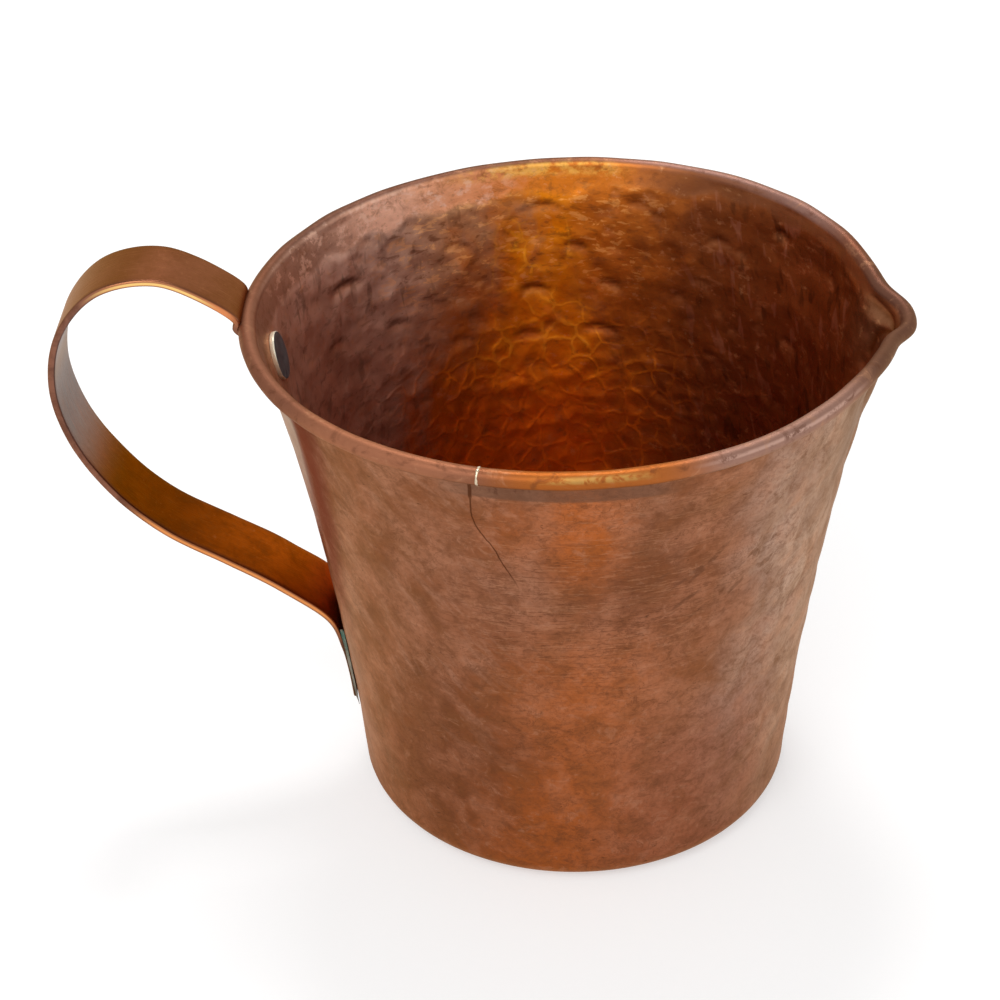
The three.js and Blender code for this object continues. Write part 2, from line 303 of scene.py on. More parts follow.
def form_rim(points):
    """Pulls the lip, pinches the rim beside it and leans the rim up towards it."""
    x, y, z = points.T
    along = np.abs(np.arctan2(y, x)) * ROLL_CENTRE
    near_rim = smooth(z, RIM_HEIGHT - FORMED_DEPTH, RIM_HEIGHT)
    near_lip = np.exp(-0.5 * (along / LIP_HALF_WIDTH) ** 3)
    pull = LIP_PULL * near_lip * smooth(z, RIM_HEIGHT - LIP_DEPTH, RIM_HEIGHT)
    pinch = PINCH * bell(along - PINCH_BESIDE, PINCH_HALF_WIDTH) * near_rim
    dip = LIP_DIP * bell(along, DIP_HALF_WIDTH) * near_rim
    radius = np.maximum(np.hypot(x, y), 1e-6)
    stretch = (radius + pull - pinch) / radius
    lean = RIM_SLOPE * x * np.maximum(0, (z - FOOT_CORNER) / (RIM_HEIGHT - FOOT_CORNER))
    return np.column_stack((x * stretch, y * stretch, z + lean - dip))


def arc(centre, radius, start, end, steps):
    angles = np.radians(np.linspace(start, end, steps + 1))
    return [(centre[0] + radius * math.cos(a), centre[1] + radius * math.sin(a)) for a in angles]


def waves(theta, z, seed, count, turns, pitch):
    """A slow unevenness between about -1 and 1, as a sum of waves round and up the wall."""
    random = np.random.default_rng(seed)
    total = np.zeros_like(theta)
    for _ in range(count):
        m = random.integers(*turns)
        n = random.uniform(-1, 1) * math.tau / pitch
        total += np.cos(m * theta + n * z + random.uniform(0, math.tau))
    return total / math.sqrt(count)


HAMMERED_RADIUS = 40
HAMMERED_HEIGHT = 84


def hammered(theta, z, round_wall, pitch, seed, bend, uneven):
    """Overlapping hammer marks: height over the deepest, nearness to a ridge and a value for each mark."""
    random = np.random.default_rng(seed)
    columns = round(math.tau * HAMMERED_RADIUS / pitch[0])
    rows = int(HAMMERED_HEIGHT / pitch[1]) + 3
    shape = (rows, columns)
    jitter = random.uniform(-0.34, 0.34, (2, *shape))
    bends = random.uniform(*bend, shape)
    sinks = random.uniform(0, uneven, shape)
    tones = random.uniform(0, 1, shape)
    wide = random.uniform(0.85, 1.25, shape)
    row = np.round(z / pitch[1]).astype(int)
    turn = theta % math.tau * columns / math.tau
    best = np.full(theta.shape, 1e9)
    second = best.copy()
    tone = np.zeros_like(theta)
    for dj in (-2, -1, 0, 1, 2):
        j = np.clip(row + dj, 0, rows - 1)
        shift = 0.5 * (j % 2)
        column = np.round(turn - shift).astype(int)
        for di in (-2, -1, 0, 1, 2):
            i = (column + di) % columns
            across = (turn - shift - (column + di) - jitter[0, j, i]) * math.tau / columns * round_wall
            high = z - (j + jitter[1, j, i]) * pitch[1]
            d = ((across / wide[j, i]) ** 2 + high**2) / (2 * bends[j, i]) + sinks[j, i]
            nearer = d < best
            second = np.where(nearer, best, np.minimum(second, d))
            tone = np.where(nearer, tones[j, i], tone)
            best = np.where(nearer, d, best)
    edge = 1 - smooth((second - best) * np.mean(bend) / pitch[1], 0.05, 0.9)
    return best, edge, tone


profile = [(FLANGE_EDGE, 0.0), (FLANGE_EDGE + 0.9, 0.0), (FLANGE_EDGE + 1.8, 0.0)]
profile += arc((FOOT_RADIUS - FOOT_CORNER, FOOT_CORNER), FOOT_CORNER, -90, 0, 9)
outside_heights = np.linspace(FOOT_CORNER, 79.2, 50)[1:]
profile += [(float(wall_radius(z)), float(z)) for z in outside_heights]
bead_start = len(profile)
profile += arc((ROLL_CENTRE, RIM_HEIGHT), CHANNEL_RADIUS, 180, ROLL_END, 7)
profile += arc((ROLL_CENTRE, RIM_HEIGHT), ROLL_RADIUS - 0.12, ROLL_END - 3, ROLL_END - 3, 0)
roll_start = len(profile)
profile += arc((ROLL_CENTRE, RIM_HEIGHT), ROLL_RADIUS, ROLL_END + 4, 163, 26)
inside_start = len(profile)
inside_heights = [79.95, *np.linspace(79.4, 36, 87), *np.linspace(36, FOOT_CORNER, 37)[1:]]
profile += [(float(wall_radius(z) - SHEET * math.hypot(1, wall_slope(z))), float(z)) for z in inside_heights]
profile += arc((FOOT_RADIUS - FOOT_CORNER, FOOT_CORNER), FOOT_CORNER - SHEET, 0, -90, 7)[1:]
profile += [(FLANGE_EDGE, SHEET)]

wall_mesh = bmesh.new()
station = wall_mesh.verts.layers.float.new("station")
corners = [wall_mesh.verts.new((r, 0, z)) for r, z in profile]
for number, corner in enumerate(corners):
    corner[station] = number
edges = [wall_mesh.edges.new((a, b)) for a, b in zip(corners, corners[1:] + corners[:1])]
WEDGES = 10
WEDGE_STEPS = 43
WEDGE_ANGLE = math.tau / WEDGES
bmesh.ops.spin(
    wall_mesh, geom=corners + edges, cent=(0, 0, 0), axis=(0, 0, 1), angle=WEDGE_ANGLE, steps=WEDGE_STEPS
)
wedge = wall_mesh.verts[:] + wall_mesh.edges[:] + wall_mesh.faces[:]
for number in range(1, WEDGES):
    copied = bmesh.ops.duplicate(wall_mesh, geom=wedge)["geom"]
    moved = [item for item in copied if isinstance(item, bmesh.types.BMVert)]
    turn = Matrix.Rotation(math.tau * number / WEDGES, 3, "Z")
    bmesh.ops.rotate(wall_mesh, cent=(0, 0, 0), matrix=turn, verts=moved)
bmesh.ops.remove_doubles(wall_mesh, verts=wall_mesh.verts[:], dist=1e-3)
bmesh.ops.recalc_face_normals(wall_mesh, faces=wall_mesh.faces)
wall_data = mesh_of("wall", wall_mesh)


def read_points(data):
    points = np.zeros(len(data.vertices) * 3)
    data.vertices.foreach_get("co", points)
    return points.reshape(-1, 3)


def write_points(data, points):
    points = np.clip(points, cad_box[0], cad_box[1])
    data.vertices.foreach_set("co", points.astype(np.float32).ravel())
    data.update()


def write_mask(data, name, values):
    layer = data.attributes.new(name, "FLOAT", "POINT")
    layer.data.foreach_set("value", values.astype(np.float32))


points = read_points(wall_data)
stations = np.zeros(len(points), np.float32)
wall_data.attributes["station"].data.foreach_get("value", stations)
wall_data.attributes.remove(wall_data.attributes["station"])
number = np.round(stations).astype(int)
x, y, z = points.T
radius = np.hypot(x, y)
theta = np.arctan2(y, x)
on_bead = (number >= bead_start) & (number < inside_start)
is_inside = number >= inside_start
is_outside = number < bead_start

# Hammer marks of the inside: small and sharp low down, broader and softer above, none in a band at the mouth
degrees = np.degrees(theta)
MOUTH_BAND = 1.2
band = MOUTH_BAND + 2.2 * np.maximum(np.cos(theta - math.radians(140)), 0)
band += 0.4 * waves(theta, z * 0, 5, 6, (8, 40), 50)
worked = smooth(RIM_HEIGHT - z, band, band + 1.4) * smooth(z, 3, 8)
warp = 0.8 * waves(theta, z, 71, 9, (5, 26), 11)
small, _, tone = hammered(theta + warp / 60, z + 0.8 * warp, radius, (3.5, 3.4), 11, (10, 20), 0.06)
broad, _, _ = hammered(theta - warp / 60, z - 0.8 * warp, radius, (6.2, 5.2), 12, (24, 60), 0.09)
# Painted glow of light reflected between the walls, gold on the back of the inside
glow = bell(degrees - 96, 6.5 + 11 * (1 - smooth(z, 44, 60)))
glow = glow * (1 - 0.45 * bell(z - 74, 3.2)) * (0.4 + 0.6 * smooth(z, 38, 56))
glow = glow * (1 + 0.25 * waves(theta, z, 83, 9, (10, 60), 6))
sharp = 0.3 + 0.7 * (1 - smooth(z, 46, 57))
marks = sharp * small + (1 - sharp) * broad
# The crescent marks of the hammer's edge, as degrees round the wall, height, half width and drop
CRESCENTS = [
    (145.1, 71.5, 3.8, 0.2), (132.9, 61.6, 2.9, 0.13), (114.6, 77.0, 2.4, 0.1), (129.6, 74.2, 2.4, 0.1),
    (137.3, 76.3, 2.0, 0.12), (115.9, 70.7, 2.7, 0.1), (100.1, 54.6, 2.6, 0.1), (98.5, 62.0, 2.6, 0.16),
    (81.3, 62.6, 2.1, 0.11), (83.4, 55.2, 3.2, 0.16), (89.3, 68.6, 2.2, 0.14), (41.7, 76.4, 1.9, 0.16),
    (56.3, 72.0, 2.6, 0.1), (95.5, 75.1, 3.0, 0.13), (75.6, 75.5, 2.4, 0.08), (33.1, 61.2, 2.5, 0.12),
    (117.0, 55.5, 2.6, 0.08), (152.0, 64.0, 2.4, 0.12), (121.0, 62.5, 2.2, 0.08), (60.0, 65.0, 2.0, 0.08),
]
random = np.random.default_rng(17)
for _ in range(80):
    CRESCENTS.append((random.uniform(18, 168), *random.uniform((47, 0.8, 0.02), (78.3, 1.8, 0.07))))
for _ in range(46):
    CRESCENTS.append((random.uniform(168, 378), *random.uniform((47, 0.9, 0.03), (77.5, 2.0, 0.09))))
crescent = np.zeros_like(theta)
crescent_shade = np.zeros_like(theta)
crescent_highlight = np.zeros_like(theta)
for at_degrees, at_height, half_width, drop in CRESCENTS:
    across = np.radians((degrees - at_degrees + 180) % 360 - 180) * radius / half_width
    below = at_height - 0.75 * across**2 - z + 0.3 * across
    reach = (1 - smooth(np.abs(across), 0.4, 1.15)) * (0.35 + 4.5 * drop)
    crescent = np.maximum(crescent, reach * drop * smooth(below, -0.35, 0.35) * (1 - smooth(below, 0.4, 2.6)))
    # Painted shade along the step of each crescent and a painted highlight just below it
    crescent_shade = np.maximum(crescent_shade, reach * bell(below - 0.05, 0.24))
    crescent_highlight = np.maximum(crescent_highlight, reach * bell(below - 1.0, 0.36))
# The creased channel of the lip, as degrees and heights of its valley, and the two rubbed places beside it
CREASE = [(8.5, 79.0), (5.0, 78.6), (1.5, 78.2), (-1.2, 76.8), (2.3, 74.4), (4.0, 72.6), (4.3, 70.0)]
LIP_RADIUS = 45
crease = np.full_like(theta, 99.0)
for (a0, z0), (a1, z1) in zip(CREASE, CREASE[1:]):
    start = np.array([math.radians(a0) * LIP_RADIUS, z0])
    span = np.array([math.radians(a1) * LIP_RADIUS, z1]) - start
    where = np.stack([theta * LIP_RADIUS, z], axis=-1) - start
    share = np.clip(where @ span / (span @ span), 0, 1)
    crease = np.minimum(crease, np.linalg.norm(where - share[..., None] * span, axis=-1))
valley = bell(crease, 0.42)
rubs = 0.8 * np.exp(-(((degrees - 1.0) / 3.4) ** 2) - ((z - 79.3) / 1.1) ** 2)
rubs = np.maximum(rubs, 0.7 * np.exp(-(((degrees - 5.6) / 2.4) ** 2) - ((z - 75.9) / 1.9) ** 2))
inward = np.where(is_inside, worked * (marks - crescent) - 0.28 * valley + 0.25 * rubs, 0)

# Lighter planishing marks of the outside, the overlap of the joint and the unevenness of the whole sheet
flats, flat_edge, flat_tone = hammered(theta + 0.006 * z, z, radius, (5.6, 9.5), 23, (26, 60), 0.07)
planing = 0.35 + 0.65 * smooth(np.cos(theta + math.radians(28)), 0.5, 0.95)
outward = np.where(is_outside, planing * (0.06 - flats), 0) * smooth(z, 2, 8)
SEAM = [
    (54, -99.3), (58.3, -99.6), (60.6, -101.0), (62.9, -102.5), (64.6, -103.5), (66, -104.0), (67.4, -105.4),
    (69.1, -106.8), (71.2, -107.5), (73.1, -107.3), (75, -107.1), (80, -106.7),
]
seam_angle = np.radians(np.interp(z, *zip(*SEAM)))
beside_seam = (theta - seam_angle) * radius
lap = 0.16 * (1 - smooth(beside_seam, -0.45, 0.1)) * np.exp(np.minimum(beside_seam, 0) / 5)
SEAM_REACH = 30
near_seam = np.abs(beside_seam) < SEAM_REACH
lap *= smooth(z, 55, 66) * (1 - smooth(z, 77.6, 79.2)) * near_seam
outward += np.where(is_outside, lap, 0)
sway = 0.14 * waves(theta, z, 9, 10, (2, 9), 45) * smooth(z, 2, 20) * (1 - smooth(z, 60, 76))
moved = radius + outward + sway - inward
points[:, 0] = moved * np.cos(theta)
points[:, 1] = moved * np.sin(theta)

# The rolled edge is a little uneven, and thinner where it was drawn out at the lip
along = np.abs(theta) * ROLL_CENTRE
swell = 1 + 0.03 * waves(theta, theta * 0, 31, 8, (6, 34), 50) - 0.05 * bell(along, 3.2)
bead_r = ROLL_CENTRE + (radius - ROLL_CENTRE) * swell
bead_z = RIM_HEIGHT + (z - RIM_HEIGHT) * swell
points[on_bead, 0] = (bead_r * np.cos(theta))[on_bead]
points[on_bead, 1] = (bead_r * np.sin(theta))[on_bead]
points[on_bead, 2] = bead_z[on_bead]
write_points(wall_data, form_rim(points) * MM)
round_bead = np.clip((number - roll_start) / (inside_start - roll_start), 0, 1)
turned_in = np.where(on_bead, smooth(round_bead, 0.55, 0.95), 0.0)
write_mask(wall_data, "inside", np.where(is_inside, 1.0, turned_in))
write_mask(wall_data, "bead", np.where(number >= roll_start, on_bead * 1.0, 0.0))
write_mask(wall_data, "round", np.where(number >= roll_start, round_bead, 0.0))
write_mask(wall_data, "tone", np.where(is_inside, tone, flat_tone))
write_mask(wall_data, "flat_edge", np.where(is_outside, flat_edge, 0.0))
only_inside = {"worked": worked, "crescent_shade": worked * crescent_shade, "crescent_highlight": worked * crescent_highlight}
only_inside.update({"crease": valley, "rubs": rubs, "glow": glow})
for name, values in only_inside.items():
    write_mask(wall_data, name, np.where(is_inside, values, 0.0))
# Where the inside turns from the golden middle to brown, towards the handle
turn_brown = 105 + np.maximum(68 - z, 0) - 0.4 * np.maximum(z - 68, 0)
turn_brown += 3.5 * waves(theta, z, 81, 9, (8, 60), 8)
near_side = smooth(12 * waves(theta, z, 82, 9, (8, 60), 8) - degrees, 84, 130)
write_mask(wall_data, "handle_side", smooth(degrees - turn_brown, -14, 24) + near_side)
# Stains of handling and of the fire: degrees, height, half width, half height and strength
STAINS = [
    (-105.5, 49.5, 4.5, 4.0, 0.55), (-114.5, 25.0, 5.0, 9.0, 0.8), (-122.0, 24.0, 15.0, 20.0, 0.4),
    (-121.0, 36.0, 6.0, 7.0, 0.4), (-76.0, 57.0, 7.5, 7.0, 0.8), (-58.0, 47.0, 6.0, 9.0, 0.35),
    (-142.5, 43.5, 2.6, 4.5, 0.6), (-126.0, 11.0, 11.0, 7.0, 0.55),
    (-62.0, 65.0, 8.0, 5.0, 0.3), (-95.5, 42.0, 3.0, 3.0, 0.45), (-101.0, 24.0, 4.0, 6.0, 0.4),
    (-88.0, 31.0, 3.0, 5.0, 0.3), (-132.0, 58.0, 3.0, 6.0, 0.35), (-109.0, 66.0, 4.0, 6.0, 0.3),
]
random = np.random.default_rng(91)
for _ in range(16):
    STAINS.append((random.uniform(-30, 200), *random.uniform((8, 3, 3, 0.3), (74, 8, 8, 0.65))))
DEGREES_PER_RADIAN = 57.3
stained = np.zeros_like(theta)
for at_degrees, at_height, half_width, half_height, strength in STAINS:
    across = ((degrees - at_degrees + 180) % 360 - 180) / DEGREES_PER_RADIAN * radius / half_width
    stained += strength * np.exp(-0.7 * (across**2 + ((z - at_height) / half_height) ** 2))
write_mask(wall_data, "stained", np.minimum(stained, 1))
# Where the copper is rubbed clean and a warm reflection is painted on it: a strip below the rolled edge at
# the front, and the front low down
rubbed_and_reflection = smooth(degrees, -97, -89) * (1 - smooth(degrees, -86, -75)) * smooth(z, 52, 68) * 0.8
rubbed_and_reflection += bell(degrees + 93 - 0.25 * (z - 20), 13) * (1 - smooth(z, 36, 60)) * (0.95 - 0.2 * smooth(z, 8, 30))
rubbed_and_reflection += 0.35 * bell(degrees + 99, 5) * smooth(z, 60, 68) * (1 - smooth(z, 73, 76))
write_mask(wall_data, "rubbed_and_reflection", np.where(is_outside, np.minimum(rubbed_and_reflection, 1), 0.0))
# A painted reflection of the strap: a dark red streak on the wall beside the handle, and a paler painted
# reflection between that streak and the handle
beside_strap_reflection = degrees + 145 + 0.3 * (75 - z) + 0.7 * waves(theta, z, 84, 7, (10, 60), 9)
strap_reflection = smooth(beside_strap_reflection, -6.5, -2.5) * (1 - smooth(beside_strap_reflection, -0.5, 6)) * smooth(z, 30, 62)
write_mask(wall_data, "strap_reflection", np.where(is_outside, strap_reflection, 0.0))
pale_reflection = (1 - smooth(beside_strap_reflection, -6.5, -3.5)) * smooth(degrees, -172, -154) * smooth(z, 46, 70)
write_mask(wall_data, "pale_reflection", np.where(is_outside, pale_reflection, 0.0))
write_mask(wall_data, "seam", np.where(is_outside & near_seam, beside_seam, float(SEAM_REACH)))


def put(name, data, *nodes):
    """Makes a piece of the object from a finished mesh and has it stand for the CAD nodes."""
    for face in data.polygons:
        face.use_smooth = True
    piece = bpy.data.objects.new(name, data)
    bpy.context.scene.collection.objects.link(piece)
    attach(piece, "root")
    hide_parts(*nodes)
    return piece


wall = put("wall", wall_data, "body_wall")

skin = Finish(bpy.data.materials.new("wall_copper"))
here = skin.place()
split = [skin.node("SeparateXYZ", None, {0: here}, axis) for axis in "XYZ"]
height = split[2] * 1000
from_axis = (split[0] * split[0] + split[1] * split[1]) ** 0.5


def facing(degrees):
    """Cosine of the angle round the pot from the given direction, which is 0 at the lip."""
    angle = math.radians(degrees)
    return (split[0] * math.cos(angle) + split[1] * math.sin(angle)) / from_axis


cloud = skin.noise(here, 36, 4, 0.55)
patch = skin.noise(here, 118, 5, 0.62, 0.7)
mottle = skin.noise(skin.place((1, 1, 1.3)), 340, 6, 0.72, 0.6)
flake = skin.noise(skin.place((1, 1, 1.4)), 460, 4, 0.65)
speck = skin.noise(skin.place((1, 1, 1.6)), 620, 3, 0.55)
grit = skin.noise(here, 1500, 2, 0.6)
worm = skin.noise(skin.place((1, 1, 1.5)), 250, 4, 0.65, 1.4)
dished = skin.mask("worked")
# Outside: pale patches on darker brown, paler and greyer towards the lip partly as a painted reflection, a
# faint painted reflection on the left, orange at the front where it is rubbed clean and a warm reflection is
# painted
front = facing(-85)
right_side = facing(-30) + 0.09 * (patch - 0.5) + 0.08 * (cloud - 0.5)
off_lip = (facing(-52) + 0.1 * (mottle - 0.5)).rise(0.68, 0.94)
planished = right_side.rise(0.86, 1.0) * off_lip
flat_edges = skin.mask("flat_edge").rise(0.25, 0.95) * planished * patch.rise(0.35, 0.6)
pale_left = facing(-128).rise(0.84, 0.99) * height.rise(28, 52)
mauve = facing(-60).rise(0.86, 0.98) * height.fall(18, 40)
palm = facing(-80).rise(0.9, 1.0) * height.fall(48, 66) * height.rise(6, 22)
handled = (skin.mask("stained") * (0.3 + 1.4 * patch)).least(1)
outside = skin.layered(
    skin.blend(patch.rise(0.36, 0.64), (0.24, 0.082, 0.036), (0.35, 0.145, 0.079)),
    (cloud.rise(0.42, 0.68) * 0.3, (0.35, 0.155, 0.09)),
    # Partly a painted reflection: paler and greyer towards the lip
    (right_side.rise(0.84, 1.02) * off_lip * 0.74, (0.43, 0.31, 0.255)),
    (planished * skin.mask("tone").rise(0.1, 0.9) * 0.3, (0.6, 0.44, 0.35)),
    (flat_edges * 0.5, (0.2, 0.11, 0.08)),
    # A faint painted reflection: a paler strip on the left
    (pale_left * patch.rise(0.3, 0.6) * 0.08, (0.46, 0.25, 0.165)),
    (mauve * 0.6, (0.3, 0.115, 0.078)),
    (palm * 0.2, (0.48, 0.23, 0.14)),
    # Rubbed copper with a painted warm reflection, orange at the front
    (skin.mask("rubbed_and_reflection") * 0.85, (0.52, 0.125, 0.018)),
    (height.fall(0, 44) * 0.5, (0.27, 0.068, 0.017)),
    (handled * 0.62, (0.16, 0.046, 0.018)),
)
# Blotches, streaks, scratches, worm lines, islands with dark shores and lines of wiping, then grit and specks
twisted = skin.swirled(here, 150, 4, 0.007)
blotch = skin.noise(twisted, 170, 3, 0.5)
streak = skin.noise(skin.drawn_out((0, -0.78, 0), (0.22, 1, 1)), 260, 5, 0.65, 0.3)
streaked = facing(-128).rise(0.78, 0.96) * height.rise(16, 38)
scratch = skin.noise(skin.drawn_out((0, 0.5, 0), (0.16, 1, 1)), 420, 3, 0.6)
scratched = facing(-58).rise(0.94, 0.99) * height.rise(46, 52) * height.fall(60, 67)
wormed = abs(worm - 0.5).fall(0.005, 0.022) * patch.rise(0.4, 0.58)
islands = skin.edges(Vector=twisted, Scale=165)
shores = islands.fall(0.012, 0.075) * speck.rise(0.4, 0.56) + 0.35 * islands.fall(0.05, 0.3)
drag = skin.noise(skin.place((1, 1, 12), (0.05, 0.03, 0)), 75, 4, 0.6)
dragged = abs(drag - 0.5).fall(0.003, 0.014) * cloud.rise(0.4, 0.6)
wiped = front.rise(0.8, 0.97) * height.rise(30, 48)
outside = skin.layered(
    outside,
    (blotch.rise(0.46, 0.68) * 0.26, (0.48, 0.2, 0.11)),
    (blotch.fall(0.34, 0.52) * 0.3, (0.2, 0.07, 0.024)),
    (streak.rise(0.5, 0.66) * streaked * 0.26, (0.5, 0.27, 0.18)),
    (streak.fall(0.34, 0.5) * streaked * 0.4, (0.17, 0.06, 0.025)),
    (scratch.fall(0.36, 0.44) * scratched * 0.6, (0.12, 0.045, 0.025)),
    (mottle.rise(0.49, 0.64) * 0.37, (0.14, 0.046, 0.02)),
    (mottle.fall(0.32, 0.46) * 0.26, (0.52, 0.26, 0.16)),
    (wormed * 0.36, (0.1, 0.03, 0.014)),
    (shores * patch.rise(0.34, 0.56) * 0.19, (0.12, 0.035, 0.012)),
    (islands.rise(0.22, 0.5) * patch.fall(0.42, 0.6) * 0.2, (0.5, 0.25, 0.16)),
    (dragged * (0.1 + 0.5 * wiped), (0.11, 0.035, 0.018)),
    (abs(drag - 0.56).fall(0.003, 0.016) * wiped * 0.3, (0.5, 0.24, 0.13)),
    (grit.rise(0.46, 0.62) * 0.22, (0.14, 0.05, 0.025)),
    (speck.rise(0.68, 0.78) * 0.7, (0.06, 0.02, 0.01)),
    # Painted reflections: the strap's dark red streak and a pale patch beside it
    (skin.mask("strap_reflection") * (0.45 + 0.9 * mottle).least(1) * 0.85, (0.28, 0.065, 0.03)),
    (skin.mask("pale_reflection") * (0.1 + 1.3 * patch).least(1) * 0.7, (0.46, 0.38, 0.34)),
)
# Painted shade in the hollow under the lip and in a band under the rolled edge at the front, with darker
# dashes, and the dark line of the lap joint
# Painted shade: darker in the hollow under the lip
under_lip = (facing(0) + 0.16 * (patch - 0.5)).rise(0.78, 0.95) * height.rise(50, 69)
# Painted shade: a dark band with darker dashes just under the rolled edge
under_roll_shade = height.rise(75.1, 75.6) * facing(-92).rise(0.92, 0.975)
dashes = skin.noise(skin.place((1, 1, 0.3)), 700, 3, 0.6)
dotted = dashes.rise(0.56, 0.7) * height.rise(75.8, 76.4)
stain_and_shade = skin.blend(dotted, (0.14, 0.07, 0.045), (0.055, 0.025, 0.018))
seam_wave = abs(skin.mask("seam") + 0.35 * (skin.noise(here, 420, 4) - 0.5))
seam_dark = seam_wave.fall(0.04, 0.17) * height.rise(57.5, 62)
seam_dark = seam_dark.most(seam_wave.fall(0.16, 0.32) * height.rise(74.6, 75.2))
outside = skin.layered(
    outside,
    (under_lip * 0.8, (0.15, 0.072, 0.05)),
    (under_roll_shade * 0.66, stain_and_shade),
    (seam_dark * 0.85, (0.075, 0.02, 0.007)),
)
# Inside: brown towards the handle, a painted golden glow of reflected light opposite the camera, dark
# red-brown towards the lip and the bottom
lip_side = facing(20)
brown = skin.blend(facing(154).rise(0.78, 0.97), (0.55, 0.27, 0.14), (0.68, 0.43, 0.34))
brown_side = (skin.mask("handle_side") + 1.2 * (patch - 0.5) + 0.8 * (flake - 0.5)).rise(0.0, 1.0)
inside = skin.layered(
    skin.blend(skin.mask("glow").rise(0.02, 0.95), (0.56, 0.155, 0.017), (0.85, 0.26, 0.005)),
    (height.fall(34, 56) * 0.6, (0.84, 0.17, 0.007)),
    (brown_side, brown),
    ((lip_side + 0.5 * (patch - 0.5)).rise(0.3, 0.9) * 0.9, (0.185, 0.05, 0.018)),
    (skin.mask("tone") * 0.25, (0.2, 0.05, 0.008)),
    (patch.rise(0.45, 0.68) * 0.24, (0.2, 0.058, 0.014)),
)
# Painted highlights along the ridges between the hammer marks, red low down and gold in the glow, light and
# dark dashes round the wall, and the hammer's crescents with their painted shade and highlight
broken = skin.noise(here, 150, 3, 0.6)
net = skin.edges(Vector=skin.swirled(here, 240, 3, 0.0026), Scale=285, Randomness=0.85)
ridge_glints = net.fall(0.015, 0.085) * broken.rise(0.42, 0.6) + 0.22 * net.fall(0.05, 0.32)
reddish = height.fall(46, 62) * facing(98).rise(0.7, 0.97)
lightning = height.fall(50, 60).most(facing(100).rise(0.965, 0.992)) * height.rise(40, 54)
lightning = lightning * (0.2 + 0.8 * height.fall(68, 74))
dash = skin.noise(skin.place((1, 1, 2.6)), 360, 3, 0.6, 0.4)
dashed = height.rise(58, 66) * facing(104).rise(0.78, 0.95)
off_centre = (brown_side + 0.6 * lip_side.rise(0.3, 0.7)).least(1)
inside = skin.layered(
    inside,
    # Painted highlights on the ridges between the hammer marks
    (ridge_glints * 0.55 * reddish, (0.95, 0.26, 0.014)),
    ((ridge_glints * skin.mask("glow") * lightning).least(0.8), (1.0, 0.44, 0.03)),
    (dash.rise(0.55, 0.64) * dashed * 0.5, (0.98, 0.46, 0.12)),
    (dash.fall(0.34, 0.45) * dashed * 0.42, (0.2, 0.055, 0.01)),
    (dash.rise(0.56, 0.68) * brown_side * 0.34, (0.66, 0.38, 0.29)),
    (dash.fall(0.33, 0.43) * off_centre * 0.28, (0.09, 0.026, 0.014)),
    (dash.rise(0.58, 0.7) * lip_side.rise(0.2, 0.6) * 0.3, (0.5, 0.2, 0.09)),
    # Painted shade and highlight of the crescents
    (skin.mask("crescent_shade") * 0.6, (0.1, 0.025, 0.008)),
    (skin.mask("crescent_highlight") * 0.26, (0.76, 0.36, 0.17)),
)
# Light and dark strokes towards the lip, where the punch slid, and the rubbed and creased channel of the lip,
# with painted shade in the crease
stroke = skin.noise(skin.drawn_out((0.39, 0.21, 0), (1, 1, 0.38)), 470, 2, 0.5, 0.5)
stroked = (facing(28).rise(0.72, 0.92) + 0.7 * brown_side).least(1)
channel = facing(1).rise(0.965, 0.995) * height.rise(64, 74)
inside = skin.layered(
    inside,
    (stroke.rise(0.58, 0.7) * stroked * 0.32, (0.5, 0.22, 0.14)),
    (stroke.fall(0.3, 0.42) * stroked * 0.5, (0.05, 0.014, 0.006)),
    (channel * 0.8, skin.blend(mottle.rise(0.4, 0.6), (0.2, 0.085, 0.042), (0.13, 0.05, 0.022))),
    (skin.mask("rubs") * 0.4, (0.34, 0.16, 0.08)),
    # Painted shade in the crease of the lip
    (skin.mask("crease") * 0.9, (0.1, 0.025, 0.005)),
    (flake.rise(0.56, 0.72) * 0.28, (0.12, 0.035, 0.012)),
    (flake.fall(0.28, 0.4) * 0.3, (0.75, 0.38, 0.18)),
)
# The smooth band at the mouth, partly rubbed, with painted light at the back: a pale highlight towards the
# handle side, an orange glow in the middle, a gold highlight along its top edge and pale flecks of highlight
ragged = 0.1 * (mottle - 0.5) + 0.06 * (patch - 0.5)
mouth_glint = height.rise(78.6, 79.8) * (facing(97) + 0.5 * ragged).rise(0.935, 0.997) * flake.fall(0.4, 0.62)
mouth = skin.layered(
    skin.blend((facing(158) + ragged).rise(0.2, 0.9), (0.24, 0.085, 0.035), (0.42, 0.23, 0.16)),
    # Painted light: a pale highlight, then the orange glow of the middle and a gold highlight at the top
    ((facing(118) + ragged).rise(0.86, 0.99), (1.0, 0.56, 0.39)),
    ((facing(96) + ragged).rise(0.84, 0.99) * 0.75, (0.8, 0.26, 0.06)),
    ((facing(91) + ragged).rise(0.95, 1.0), (0.74, 0.22, 0.022)),
    (mouth_glint * 0.85, (1.0, 0.58, 0.12)),
    (mottle.rise(0.46, 0.66) * 0.55, (0.25, 0.09, 0.03)),
    (flake.fall(0.3, 0.42) * facing(110).rise(0.3, 0.9) * 0.35, (0.9, 0.5, 0.24)),
    (flake.fall(0.38, 0.5) * facing(138).rise(0.75, 0.95) * 0.6, (0.95, 0.62, 0.48)),
    (speck.rise(0.56, 0.7) * 0.36, (0.17, 0.06, 0.03)),
)
smooth_band = (dished + 1.3 * (patch - 0.5) + 1.1 * (flake - 0.5)).fall(-0.1, 0.9)
inside = skin.blend(smooth_band * 0.9, inside, mouth)
